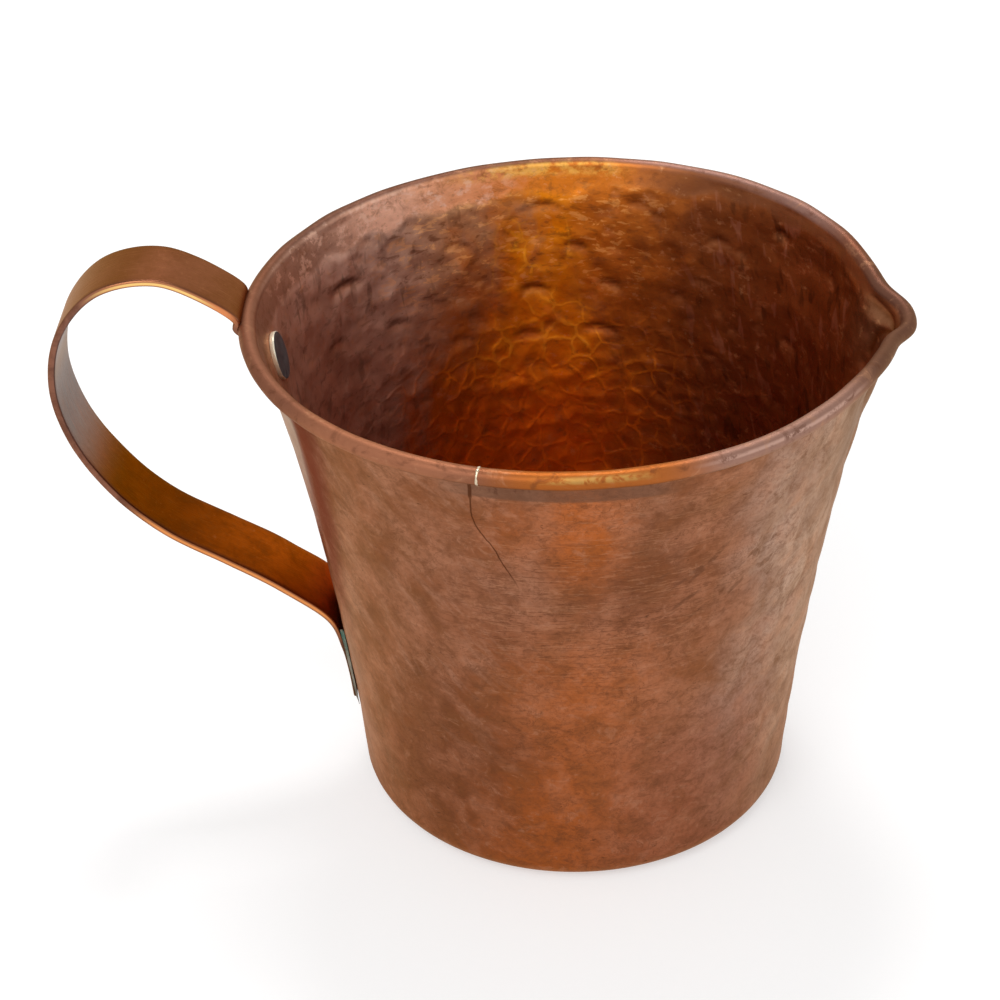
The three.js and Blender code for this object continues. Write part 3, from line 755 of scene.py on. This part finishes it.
# The rolled edge: smoother brown, with painted light: a gold highlight along its top at the front, a lighter
# highlight at the front left, a pale highlight line towards the lip, and painted shade on its underside
crown = skin.mask("round")
at_front = front.rise(0.93, 0.99)
top_line = crown.rise(0.4, 0.48) * crown.fall(0.54, 0.64)
gold_glint = top_line * facing(-86).rise(0.982, 0.997) * mottle.fall(0.44, 0.6)
pale_glint = crown.rise(0.44, 0.49) * crown.fall(0.51, 0.57) * facing(-50).rise(0.93, 0.99)
pale_glint = pale_glint * mottle.fall(0.5, 0.62)
bead_colour = skin.layered(
    skin.blend(cloud.rise(0.4, 0.6), (0.19, 0.07, 0.04), (0.25, 0.1, 0.06)),
    # Painted highlight: lighter at the front left
    (facing(-122).rise(0.92, 0.99) * 0.7, (0.42, 0.17, 0.09)),
    (facing(-54).rise(0.84, 0.99) * 0.7, (0.4, 0.24, 0.19)),
    (facing(-6).rise(0.87, 0.97) * 0.85, (0.13, 0.06, 0.042)),
    (facing(54).rise(0.84, 0.97) * 0.75, (0.33, 0.195, 0.165)),
    (facing(125).rise(0.7, 0.92) * 0.8, (0.1, 0.045, 0.034)),
    (at_front * 0.9, (0.44, 0.123, 0.017)),
    # Painted highlights: gold along the top at the front and a pale line towards the lip
    (gold_glint * 0.62, (0.56, 0.36, 0.1)),
    (pale_glint * 0.6, (0.74, 0.48, 0.39)),
    (mottle.fall(0.3, 0.46) * 0.4, (0.52, 0.26, 0.14)),
    (mottle.rise(0.52, 0.68) * 0.5, (0.12, 0.04, 0.02)),
    # Painted shade on the underside of the roll, where it meets the wall
    (crown.fall(0.2, 0.3) * (0.7 - 0.3 * at_front), (0.08, 0.028, 0.015)),
)
bead = skin.mask("bead")
far_roll = facing(110).rise(0.3, 0.7) * crown.rise(0.79, 0.9)
colour = skin.blend(skin.mask("inside"), outside, inside)
colour = skin.blend(bead * (0.9 - 0.8 * far_roll), colour, bead_colour)
# Rougher and less metallic in the painted reflection of the strap, and raised by the pebbled face of the
# hammer and the threads between its marks
rough = 0.3 + 0.14 * cloud + 0.16 * mottle + 0.08 * bead - 0.12 * skin.mask("pale_reflection")
rough = rough + 0.6 * skin.mask("strap_reflection")
pebble = skin.noise(here, 270, 2, 0.5)
relief = 3 * (pebble - 0.5) * dished + 0.5 * mottle + 0.3 * flake + 0.2 * worm
relief = relief + 0.5 * net.fall(0, 0.16) * dished * height.fall(48, 64)
RELIEF_DEPTH = 0.00006
sheen = {"Specular Tint": (0.95, 0.76, 0.58, 1), "Specular IOR Level": 0.02}
sheen["Metallic"] = 1 - 0.7 * skin.mask("strap_reflection")
wall_data.materials.append(skin.metal(colour, rough, relief, RELIEF_DEPTH, **sheen))


# Wire in the rolled edge
# Drawn iron wire that the sheet is rolled over; only its dull grey would show if the roll were opened.
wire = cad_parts["rim_wire"]
iron = Finish(bpy.data.materials.new("drawn_iron"))
scale_marks = iron.noise(iron.place(), 600, 4)
iron_colour = iron.blend(scale_marks, (0.2, 0.19, 0.18), (0.34, 0.32, 0.3))
wire.data.materials.clear()
wire.data.materials.append(iron.metal(iron_colour, 0.4 + 0.2 * scale_marks))


# Joint of the rolled edge
# The two ends of the roll meet here and are filled with silver solder, filed nearly flush.
JOINT_WIDTH = 0.38
JOINT_TURN = math.radians(-104.6)
JOINT_START = -112
JOINT_SWEEP = 268
joint_mesh = bmesh.new()
bmesh.ops.create_grid(joint_mesh, x_segments=40, y_segments=6, size=0.5)
bmesh.ops.solidify(joint_mesh, geom=joint_mesh.faces[:], thickness=1)
bmesh.ops.recalc_face_normals(joint_mesh, faces=joint_mesh.faces)
joint_data = mesh_of("rim_joint", joint_mesh)
points = read_points(joint_data)
share, side, high = points[:, 0] + 0.5, points[:, 1], points[:, 2] - points[:, 2].min()
high = high / high.max()
round_roll = np.radians(JOINT_START + share * JOINT_SWEEP)
wobble = 0.28 * np.sin(share * 17) * np.cos(share * 31)
width = JOINT_WIDTH * (0.95 + wobble + 0.35 * bell(share - 0.66, 0.05))
proud = ROLL_RADIUS - 0.3 + high * (0.37 + 0.03 * np.sin(share * 40)) * (1 - 0.3 * (2 * np.abs(side)) ** 4)
across = side * width
out = ROLL_CENTRE + proud * np.cos(round_roll)
points[:, 0] = out * math.cos(JOINT_TURN) - across * math.sin(JOINT_TURN)
points[:, 1] = out * math.sin(JOINT_TURN) + across * math.cos(JOINT_TURN)
points[:, 2] = RIM_HEIGHT + proud * np.sin(round_roll)
write_points(joint_data, form_rim(points) * MM)
joint = put("rim_joint", joint_data, "rim_joint_solder")
silver = Finish(bpy.data.materials.new("silver_solder"))
pits = silver.noise(silver.place(), 1500, 3, 0.6)
silver_colour = silver.blend(pits.rise(0.45, 0.7), (0.66, 0.55, 0.4), (0.44, 0.3, 0.18))
joint_data.materials.append(silver.metal(silver_colour, 0.22 + 0.2 * pits, pits, 0.00003))


# Base disc
# A flat disc of copper sheet, set flush into the turned-in foot and lightly hammered flat.
def turned(name, pairs, turns, closed):
    """A mesh turned about the pot's axis from pairs of radius and height."""
    shape = bmesh.new()
    rim = [shape.verts.new((r, 0, z)) for r, z in pairs]
    ends = rim[1:] + rim[:1] if closed else rim[1:]
    lines = [shape.edges.new((a, b)) for a, b in zip(rim, ends)]
    bmesh.ops.spin(
        shape, geom=rim + lines, cent=(0, 0, 0), axis=(0, 0, 1), angle=math.tau, steps=turns, use_merge=True
    )
    bmesh.ops.remove_doubles(shape, verts=shape.verts[:], dist=1e-5)
    bmesh.ops.recalc_face_normals(shape, faces=shape.faces)
    return mesh_of(name, shape)


DISC_RADIUS = FLANGE_EDGE - FIT
disc_radii = np.linspace(0, DISC_RADIUS - 0.12, 46)
disc_profile = [(float(r), 0.02) for r in disc_radii] + [(DISC_RADIUS, 0.12), (DISC_RADIUS, SHEET - 0.1)]
disc_profile += [(float(r), SHEET) for r in disc_radii[::-1]]
disc_data = turned("base", disc_profile, 190, False)
points = read_points(disc_data)
x, y, z = points.T
from_centre = np.hypot(x, y)
around = np.arctan2(y, x)
flat_marks, _, _ = hammered(around, from_centre, np.maximum(from_centre, 2), (6.5, 4.2), 41, (30, 50), 0.05)
still = 1 - smooth(from_centre, DISC_RADIUS - 2.5, DISC_RADIUS - 0.5)
sunk = (0.1 * (1 - (from_centre / DISC_RADIUS) ** 2) + 0.45 * (flat_marks - 0.05)) * still
points[:, 2] = np.where(z > SHEET - 0.05, z + sunk, z)
write_points(disc_data, points * MM)
disc = put("base", disc_data, "base_disc")
sheet = Finish(bpy.data.materials.new("base_copper"))
here = sheet.place()
stain_and_shade = sheet.noise(here, 55, 6, 0.65, 0.8)
fine = sheet.noise(here, 500, 4)
base_colour = sheet.blend(stain_and_shade.rise(0.35, 0.65), (0.15, 0.048, 0.02), (0.36, 0.15, 0.07))
base_colour = sheet.blend(fine.rise(0.6, 0.75) * 0.5, base_colour, (0.12, 0.04, 0.02))
disc_data.materials.append(sheet.metal(base_colour, 0.38 + 0.2 * stain_and_shade, fine, 0.00004))


# Braze of the base
# A thin uneven ring of braze that ran round the disc and the foot inside the pot.
BRAZE_HALF_WIDTH = 1.25
BRAZE_HEIGHT = 0.36
braze_profile = [
    (FLANGE_EDGE + BRAZE_HALF_WIDTH * math.cos(a), SHEET - 0.02 + BRAZE_HEIGHT * math.sin(a))
    for a in np.linspace(0, math.pi, 11)
]
braze_data = turned("base_braze", [*braze_profile, (FLANGE_EDGE, SHEET - 0.2)], 220, True)
points = read_points(braze_data)
x, y, z = points.T
theta = np.arctan2(y, x)
ring = np.hypot(x, y)
ragged = FLANGE_EDGE + (ring - FLANGE_EDGE) * (1 + 0.2 * waves(theta, theta * 0, 51, 9, (3, 26), 50))
points[:, 0] = ragged * np.cos(theta)
points[:, 1] = ragged * np.sin(theta)
points[:, 2] = z + (z - SHEET) * 0.12 * waves(theta, theta * 0, 52, 7, (4, 30), 50)
write_points(braze_data, points * MM)
braze = put("base_braze_ring", braze_data, "base_braze")
brass = Finish(bpy.data.materials.new("dull_braze"))
flux = brass.noise(brass.place(), 260, 5, 0.7)
braze_colour = brass.blend(flux.rise(0.4, 0.62), (0.42, 0.3, 0.15), (0.16, 0.08, 0.035))
braze_data.materials.append(brass.metal(braze_colour, 0.3 + 0.3 * flux, flux, 0.0001))


# Strap handle
# One bar of copper, riveted as a tab below the rim, bent over the rolled edge and out into a loop, hammered
# thin and soldered low on the wall. Its edges are rubbed bright and carry painted highlights.
STRAP_THICKNESS = 1.08
STRAP_END_THICKNESS = 0.6
STRAP_TOP_WIDTH = 9.8
STRAP_LOW_WIDTH = 12.7
STRAP_STAND = 32
TAB_END = 66
TAB_CORNER = 3.5
CREST = RIM_HEIGHT + 7.75
LEAVE_HEIGHT = 24
STRAP_END = 14.5
SEAT = 0.08 + STRAP_THICKNESS / 2
END_SEAT = 0.03 + STRAP_END_THICKNESS / 2
LOOP = [
    (0.153, 0.94), (0.407, 1), (0.667, 0.978), (0.854, 0.877), (1, 0.734), (1.001, 0.587), (0.897, 0.454),
    (0.717, 0.34), (0.469, 0.255), (0.231, 0.172), (0.053, 0.083),
]


def on_wall(z, lift):
    length = math.hypot(1, wall_slope(z))
    return (wall_radius(z) + lift / length, z - lift * wall_slope(z) / length)


def smooth_line(corners, pieces=40):
    """A centripetal Catmull-Rom line through the corners."""
    q = np.array(corners, float)
    q = np.vstack([2 * q[0] - q[1], q, 2 * q[-1] - q[-2]])
    u = np.linspace(0, 1, pieces, endpoint=False)[:, None]
    line = []
    for before, start, end, after in zip(q, q[1:], q[2:], q[3:]):
        d0, d1, d2 = (np.linalg.norm(b - a) ** 0.5 for a, b in ((before, start), (start, end), (end, after)))
        leave = ((start - before) / d0 - (end - before) / (d0 + d1) + (end - start) / d1) * d1
        meet = ((end - start) / d1 - (after - start) / (d1 + d2) + (after - end) / d2) * d1
        line.append(start + leave * u + (3 * (end - start) - 2 * leave - meet) * u**2)
        line[-1] = line[-1] + (2 * (start - end) + leave + meet) * u**3
    return np.vstack([*line, q[-2:-1]])


PASSING_THICKNESS = 0.54
PASSING_AT = 12.2
NECK = 2.8
NECK_AT = 11.4
passing_radius = ROLL_RADIUS + 0.08 + PASSING_THICKNESS / 2
passing = [
    (ROLL_CENTRE + passing_radius * math.cos(a), RIM_HEIGHT + passing_radius * math.sin(a))
    for a in np.radians([-50, 0, 40])
]
loop = []
for stand_off, rise in LOOP:
    z = LEAVE_HEIGHT + (CREST - LEAVE_HEIGHT) * rise
    loop.append((wall_radius(z) + stand_off * STRAP_STAND, z))
tab = [on_wall(TAB_END, SEAT), on_wall(70.45, SEAT), on_wall(74.9, SEAT)]
half_down = (STRAP_END + LEAVE_HEIGHT) / 2
foot = [on_wall(LEAVE_HEIGHT, SEAT), on_wall(half_down, END_SEAT), on_wall(STRAP_END, END_SEAT)]
line = smooth_line(tab + passing + loop + foot)
run = np.concatenate([[0], np.cumsum(np.linalg.norm(np.diff(line, axis=0), axis=1))])
STRAP_LENGTH = run[-1]
strap_mesh = bmesh.new()
bmesh.ops.create_cube(strap_mesh, size=1)
bmesh.ops.scale(strap_mesh, vec=(STRAP_LENGTH, STRAP_TOP_WIDTH, STRAP_THICKNESS), verts=strap_mesh.verts)
bmesh.ops.bevel(
    strap_mesh, geom=strap_mesh.edges[:], offset=0.3, segments=4, profile=0.5, affect="EDGES", material=-1
)


def lengthways(shape, axis, least):
    """The edges that run along an axis and are at least that long."""
    spans = [(edge, edge.verts[0].co - edge.verts[1].co) for edge in shape.edges]
    return [edge for edge, span in spans if abs(span[axis]) > least and abs(span[axis]) > 0.99 * span.length]


bmesh.ops.subdivide_edges(strap_mesh, edges=lengthways(strap_mesh, 0, 50), cuts=330, use_grid_fill=True)
bmesh.ops.subdivide_edges(strap_mesh, edges=lengthways(strap_mesh, 1, 5), cuts=14, use_grid_fill=True)
bmesh.ops.recalc_face_normals(strap_mesh, faces=strap_mesh.faces)
strap_data = mesh_of("strap", strap_mesh)


def beside_wall(radius, side, z, wrap):
    """A place on the handle's side; wrap is 0 for a flat strap and 1 for one that follows the round wall."""
    turn = side / wall_radius(z)
    flat = 1 - wrap
    return np.column_stack(
        (-(flat * radius + wrap * radius * np.cos(turn)), -(flat * side + wrap * radius * np.sin(turn)), z)
    )


def along_line(at):
    """Radius and height of the strap's middle line, at lengths along it."""
    return np.column_stack([np.interp(at, run, line[:, axis]) for axis in (0, 1)])


points = read_points(strap_data)
through = points[:, 2].copy()
share = np.clip(points[:, 0] / STRAP_LENGTH + 0.5, 0, 1)
flat_side = points[:, 1] / STRAP_TOP_WIDTH
at = share * STRAP_LENGTH
centre = along_line(at)
ahead = along_line(at + 0.3) - along_line(at - 0.3)
ahead /= np.linalg.norm(ahead, axis=1)[:, None]
thin = smooth(share, 0.85, 0.94)
thickness = STRAP_THICKNESS + (STRAP_END_THICKNESS - STRAP_THICKNESS) * thin
thickness -= (STRAP_THICKNESS - PASSING_THICKNESS) * bell(at - PASSING_AT, 2.0)
width = STRAP_TOP_WIDTH + (STRAP_LOW_WIDTH - STRAP_TOP_WIDTH) * share**0.7 - NECK * bell(at - NECK_AT, 2.0)
dents, _, _ = hammered(at / 12, flat_side * 11 + 40, np.full_like(at, 12.0), (6.5, 5.5), 61, (40, 60), 0.03)
free = smooth(share, 0.17, 0.22) * (1 - smooth(share, 0.84, 0.9))
out = points[:, 2] * thickness / STRAP_THICKNESS * (1 - 0.5 * (dents - 0.03) * free)
edge_wave = 1 + 0.012 * free * np.sin(at / 5.1) + 0.008 * free * np.sin(at / 2.3 + np.sign(flat_side))
cut = np.clip(TAB_CORNER - at, 0, TAB_CORNER)
width = width - 2 * (TAB_CORNER - np.sqrt(TAB_CORNER**2 - cut**2))
side = -flat_side * width * edge_wave
wrap = 1 - smooth(share, 0.07, 0.16) + smooth(share, 0.82, 0.91)
placed = beside_wall(centre[:, 0] + out * ahead[:, 1], side, centre[:, 1] - out * ahead[:, 0], wrap)
write_points(strap_data, form_rim(placed) * MM)
write_mask(strap_data, "edge", smooth(np.abs(flat_side) * 2, 0.97, 0.998))
write_mask(strap_data, "border", smooth(np.abs(flat_side) * 2, 0.91, 0.96))
write_mask(strap_data, "inner", (out > 0) * 1.0)
write_mask(strap_data, "level", 0.5 + through / STRAP_THICKNESS)
write_mask(strap_data, "along", at)
write_mask(strap_data, "across", flat_side * width)
strap = put("strap", strap_data, "handle_strap")
bar = Finish(bpy.data.materials.new("strap_copper"))
here = bar.place()
haze = bar.noise(here, 60, 5, 0.62)
rub = bar.noise(here, 240, 5, 0.7, 0.4)
drawn_at = bar.node("CombineXYZ", None, {0: bar.mask("along") * 0.12, 1: bar.mask("across") * 2.2, 2: 0.0})
drawn = bar.noise(drawn_at, 1.6, 4, 0.6)
# Masks of the strap: along is the length in millimetres from the end of the tab
along = bar.mask("along")
inner = bar.mask("inner")
low = along.rise(64, 78)
root = along.rise(84, 112)
red_brown = bar.blend(rub.rise(0.35, 0.65), (0.17, 0.031, 0.0025), (0.12, 0.021, 0.002))
orange_brown = bar.blend(rub.rise(0.35, 0.65), (0.49, 0.096, 0.011), (0.33, 0.06, 0.006))
# Painted reflection of the grey room on the inner face of the loop, pale and then darker along it
grey_reflection = along.rise(50, 58) * along.fall(62, 74)
pale_grey_reflection = along.rise(36, 42) * along.fall(46, 62)
grit = bar.noise(here, 1300, 3, 0.65)
strap_colour = bar.layered(
    bar.blend(haze.rise(0.35, 0.68), (0.17, 0.056, 0.028), (0.25, 0.09, 0.05)),
    (along.rise(33, 46) * 0.7, (0.27, 0.135, 0.105)),
    (inner * low, bar.blend(root, red_brown, orange_brown)),
    (inner * along.rise(108, 116) * 0.8, (0.9, 0.2, 0.04)),
    (inner * grey_reflection * drawn.rise(0.3, 0.62), (0.17, 0.14, 0.145)),
    (inner * pale_grey_reflection * (0.55 + 0.6 * drawn).least(1), (0.36, 0.37, 0.42)),
    # Painted shade where the strap's end meets the wall
    (along.rise(115, 125) * 0.6, (0.2, 0.08, 0.035)),
    (grit.rise(0.45, 0.7) * 0.2, (0.12, 0.045, 0.02)),
    (grit.fall(0.26, 0.4) * 0.14, (0.55, 0.26, 0.12)),
    (rub.rise(0.52, 0.75) * 0.24, (0.13, 0.04, 0.014)),
    (drawn.rise(0.56, 0.76) * (0.3 - 0.2 * low), (0.5, 0.22, 0.1)),
    (bar.mask("border") * 0.6, (0.12, 0.045, 0.025)),
)
# The edges carry painted highlights over the crest and low in the loop, partly rubbed bright, most along the
# middle of their thickness
level = bar.mask("level")
edge_glint = level.rise(0.28, 0.42) * level.fall(0.62, 0.78)
over_crest = along.rise(19, 24) * along.fall(33, 42)
low_loop = along.rise(78, 86) * along.fall(113, 120)
edge_colour = bar.layered(
    bar.blend(rub.rise(0.4, 0.6), (0.15, 0.06, 0.036), (0.24, 0.1, 0.06)),
    (along.rise(15, 19) * along.fall(22, 27), (0.75, 0.26, 0.1)),
    (over_crest, (0.5, 0.2, 0.09)),
    # A painted highlight along the middle of the edge over the crest
    (over_crest * edge_glint, (1.0, 0.64, 0.22)),
    (low_loop * (0.35 + 0.65 * edge_glint), (0.8, 0.3, 0.09)),
    # Painted shade on the edges where the strap's end meets the wall
    (along.rise(118, 122), (0.08, 0.035, 0.016)),
)
edge = bar.mask("edge")
strap_colour = bar.blend(edge * 0.9, strap_colour, edge_colour)
strap_rough = 0.3 + 0.14 * haze - 0.06 * edge
strap_relief = 0.6 * drawn + 0.4 * rub
# Less metallic where the grey reflection is painted
grey_reflected = inner * grey_reflection.most(pale_grey_reflection) * edge.fall(0, 1)
strap_sheen = {"Specular Tint": (0.9, 0.66, 0.42, 1), "Metallic": 1 - 0.75 * grey_reflected}
strap_data.materials.append(bar.metal(strap_colour, strap_rough, strap_relief, 0.00005, **strap_sheen))


# Rivet and washer
# A white-metal rivet joins tab and wall, with a flat head inside the cup and a tail hammered over a small
# copper washer outside.
RIVET_HEIGHT = 72.4
SHANK_RADIUS = 1.5
HEAD_RADIUS = 3.6
HEAD_THICKNESS = 0.75
WASHER_THICKNESS = 0.6
rivet_out = Vector((-1, 0, -float(wall_slope(RIVET_HEIGHT)))).normalized()
rivet_turn = Matrix((Vector((0, 1, 0)).cross(rivet_out), Vector((0, 1, 0)), rivet_out)).transposed().to_4x4()
rivet_frame = Matrix.Translation((-float(wall_radius(RIVET_HEIGHT)), 0, RIVET_HEIGHT)) @ rivet_turn


def about_rivet(data, reshape=None):
    """Sets a piece turned about its own axis on the rivet's axis; heights count outwards from the wall."""
    points = read_points(data)
    if reshape:
        points = reshape(points)
    turned_points = points @ np.array(rivet_frame.to_3x3()).T + np.array(rivet_frame.translation)
    write_points(data, form_rim(turned_points) * MM)


head_seat = -SHEET - 0.12
washer_seat = 0.1 + STRAP_THICKNESS + 0.06
tail_seat = washer_seat + WASHER_THICKNESS + 0.03
face = head_seat - HEAD_THICKNESS
rivet_profile = [(0, face + 0.03), (1.2, face + 0.02), (2.3, face), (3.0, face), (3.28, face + 0.02)]
rivet_profile += arc((HEAD_RADIUS - 0.16, face + 0.18), 0.16, -90, 0, 4)
rivet_profile += [(HEAD_RADIUS, head_seat - 0.1), (HEAD_RADIUS - 0.1, head_seat), (SHANK_RADIUS, head_seat)]
rivet_profile += [(SHANK_RADIUS, tail_seat), (2.02, tail_seat)]
TAIL = [(2.1, 0.12), (2.0, 0.42), (1.7, 0.7), (1.15, 0.9), (0.6, 0.97), (0, 1.0)]
rivet_profile += [(r, tail_seat + z) for r, z in TAIL]


def nick_head(points):
    x, y, z = points.T
    round_head = np.arctan2(y, x)
    far_out = smooth(np.hypot(x, y), 2.2, HEAD_RADIUS) * (z < head_seat - 0.05)
    nick = bell(round_head + math.radians(150), 0.07) + 0.5 * bell(round_head + math.radians(118), 0.05)
    points[:, 2] = z + 0.2 * nick * far_out
    tail = z > tail_seat + 0.05
    points[:, 0] = x + np.where(tail, 0.12 * np.sin(3 * round_head + 1), 0)
    points[:, 1] = y + np.where(tail, 0.1 * np.cos(2 * round_head), 0)
    return points


rivet_data = turned("rivet", rivet_profile, 72, False)
about_rivet(rivet_data, nick_head)
rivet = put("rivet", rivet_data, "handle_rivet")
pewter = Finish(bpy.data.materials.new("rivet_metal"))
here = pewter.place()
worn = pewter.noise(here, 700, 4, 0.6)
sideways = pewter.node("SeparateXYZ", None, {0: pewter.node("NewGeometry", output="Normal")}, "X")
rivet_colour = pewter.blend(worn.rise(0.4, 0.65), (0.055, 0.06, 0.07), (0.1, 0.105, 0.115))
# A painted pale highlight on the rim of the head, wherever the surface does not face into the cup
rivet_colour = pewter.blend(sideways.fall(0.6, 0.9) * 0.95, rivet_colour, (0.82, 0.76, 0.6))
rivet_data.materials.append(pewter.metal(rivet_colour, 0.3 + 0.2 * worn, worn, 0.00003, Metallic=0.45))

WASHER_RADIUS = 2.6
washer_hole = SHANK_RADIUS + 0.04
washer_profile = [(washer_hole, washer_seat), (2.5, washer_seat), (WASHER_RADIUS, washer_seat + 0.1)]
washer_profile += [(WASHER_RADIUS, tail_seat - 0.15), (2.5, tail_seat - 0.05), (2.3, tail_seat - 0.03)]
washer_profile += [(washer_hole, tail_seat - 0.03)]
washer_data = turned("washer", washer_profile, 72, True)
about_rivet(washer_data)
washer = put("washer", washer_data, "rivet_washer")
washer_data.materials.append(bar.owner)


# Solder of the handle
# Soft solder that ran round the strap's lower end, now dull, with a trace of green copper salt at its upper
# edge.
SOLDER_LEG = 0.9
SOLDER_TOP = 27.5
solder_mesh = bmesh.new()
bmesh.ops.create_cube(solder_mesh, size=1)
bmesh.ops.subdivide_edges(solder_mesh, edges=lengthways(solder_mesh, 0, 0.5), cuts=149, use_grid_fill=True)
bmesh.ops.subdivide_edges(solder_mesh, edges=lengthways(solder_mesh, 1, 0.5), cuts=9, use_grid_fill=True)
bmesh.ops.recalc_face_normals(solder_mesh, faces=solder_mesh.faces)
solder_data = mesh_of("handle_solder", solder_mesh)
points = read_points(solder_data)
along, away, high = (points[:, 0] + 0.5) * 3, points[:, 1] + 0.5, points[:, 2] + 0.5
ragged = 1 + 0.35 * np.sin(along * 5.3) * np.cos(along * 3.1 + 1) + 0.08 * np.sin(along * 13)
spread = 0.02 + away * SOLDER_LEG * ragged
half = STRAP_LOW_WIDTH / 2 - 0.1 + spread
low = STRAP_END - 0.7 * spread
down = np.clip(np.minimum(along, 3 - along), 0, 1)
over = np.clip(along - 1, 0, 1)
z = SOLDER_TOP + (low - SOLDER_TOP) * down
side = half - 2 * half * over
top = 0.08 + (0.26 + 0.26 * (1 - down)) * (1 - away) ** 1.8 + 0.03 * np.sin(along * 17) * (1 - away)
radial = wall_radius(z) + 0.02 + high * top
solder_points = beside_wall(radial, side, z, np.ones_like(z))
write_points(solder_data, form_rim(solder_points) * MM)
write_mask(solder_data, "down", down)
solder = put("handle_solder", solder_data, "lower_solder")
tin = Finish(bpy.data.materials.new("soft_solder"))
here = tin.place()
crust = tin.noise(here, 420, 5, 0.7)
tin_colour = tin.blend(crust.rise(0.4, 0.66), (0.27, 0.24, 0.18), (0.1, 0.075, 0.05))
green = tin.mask("down").fall(0.1, 0.5) * crust.rise(0.36, 0.58)
tin_colour = tin.blend(green * 0.8, tin_colour, (0.07, 0.19, 0.15))
solder_data.materials.append(tin.metal(tin_colour, 0.45 + 0.3 * crust, crust, 0.00012))
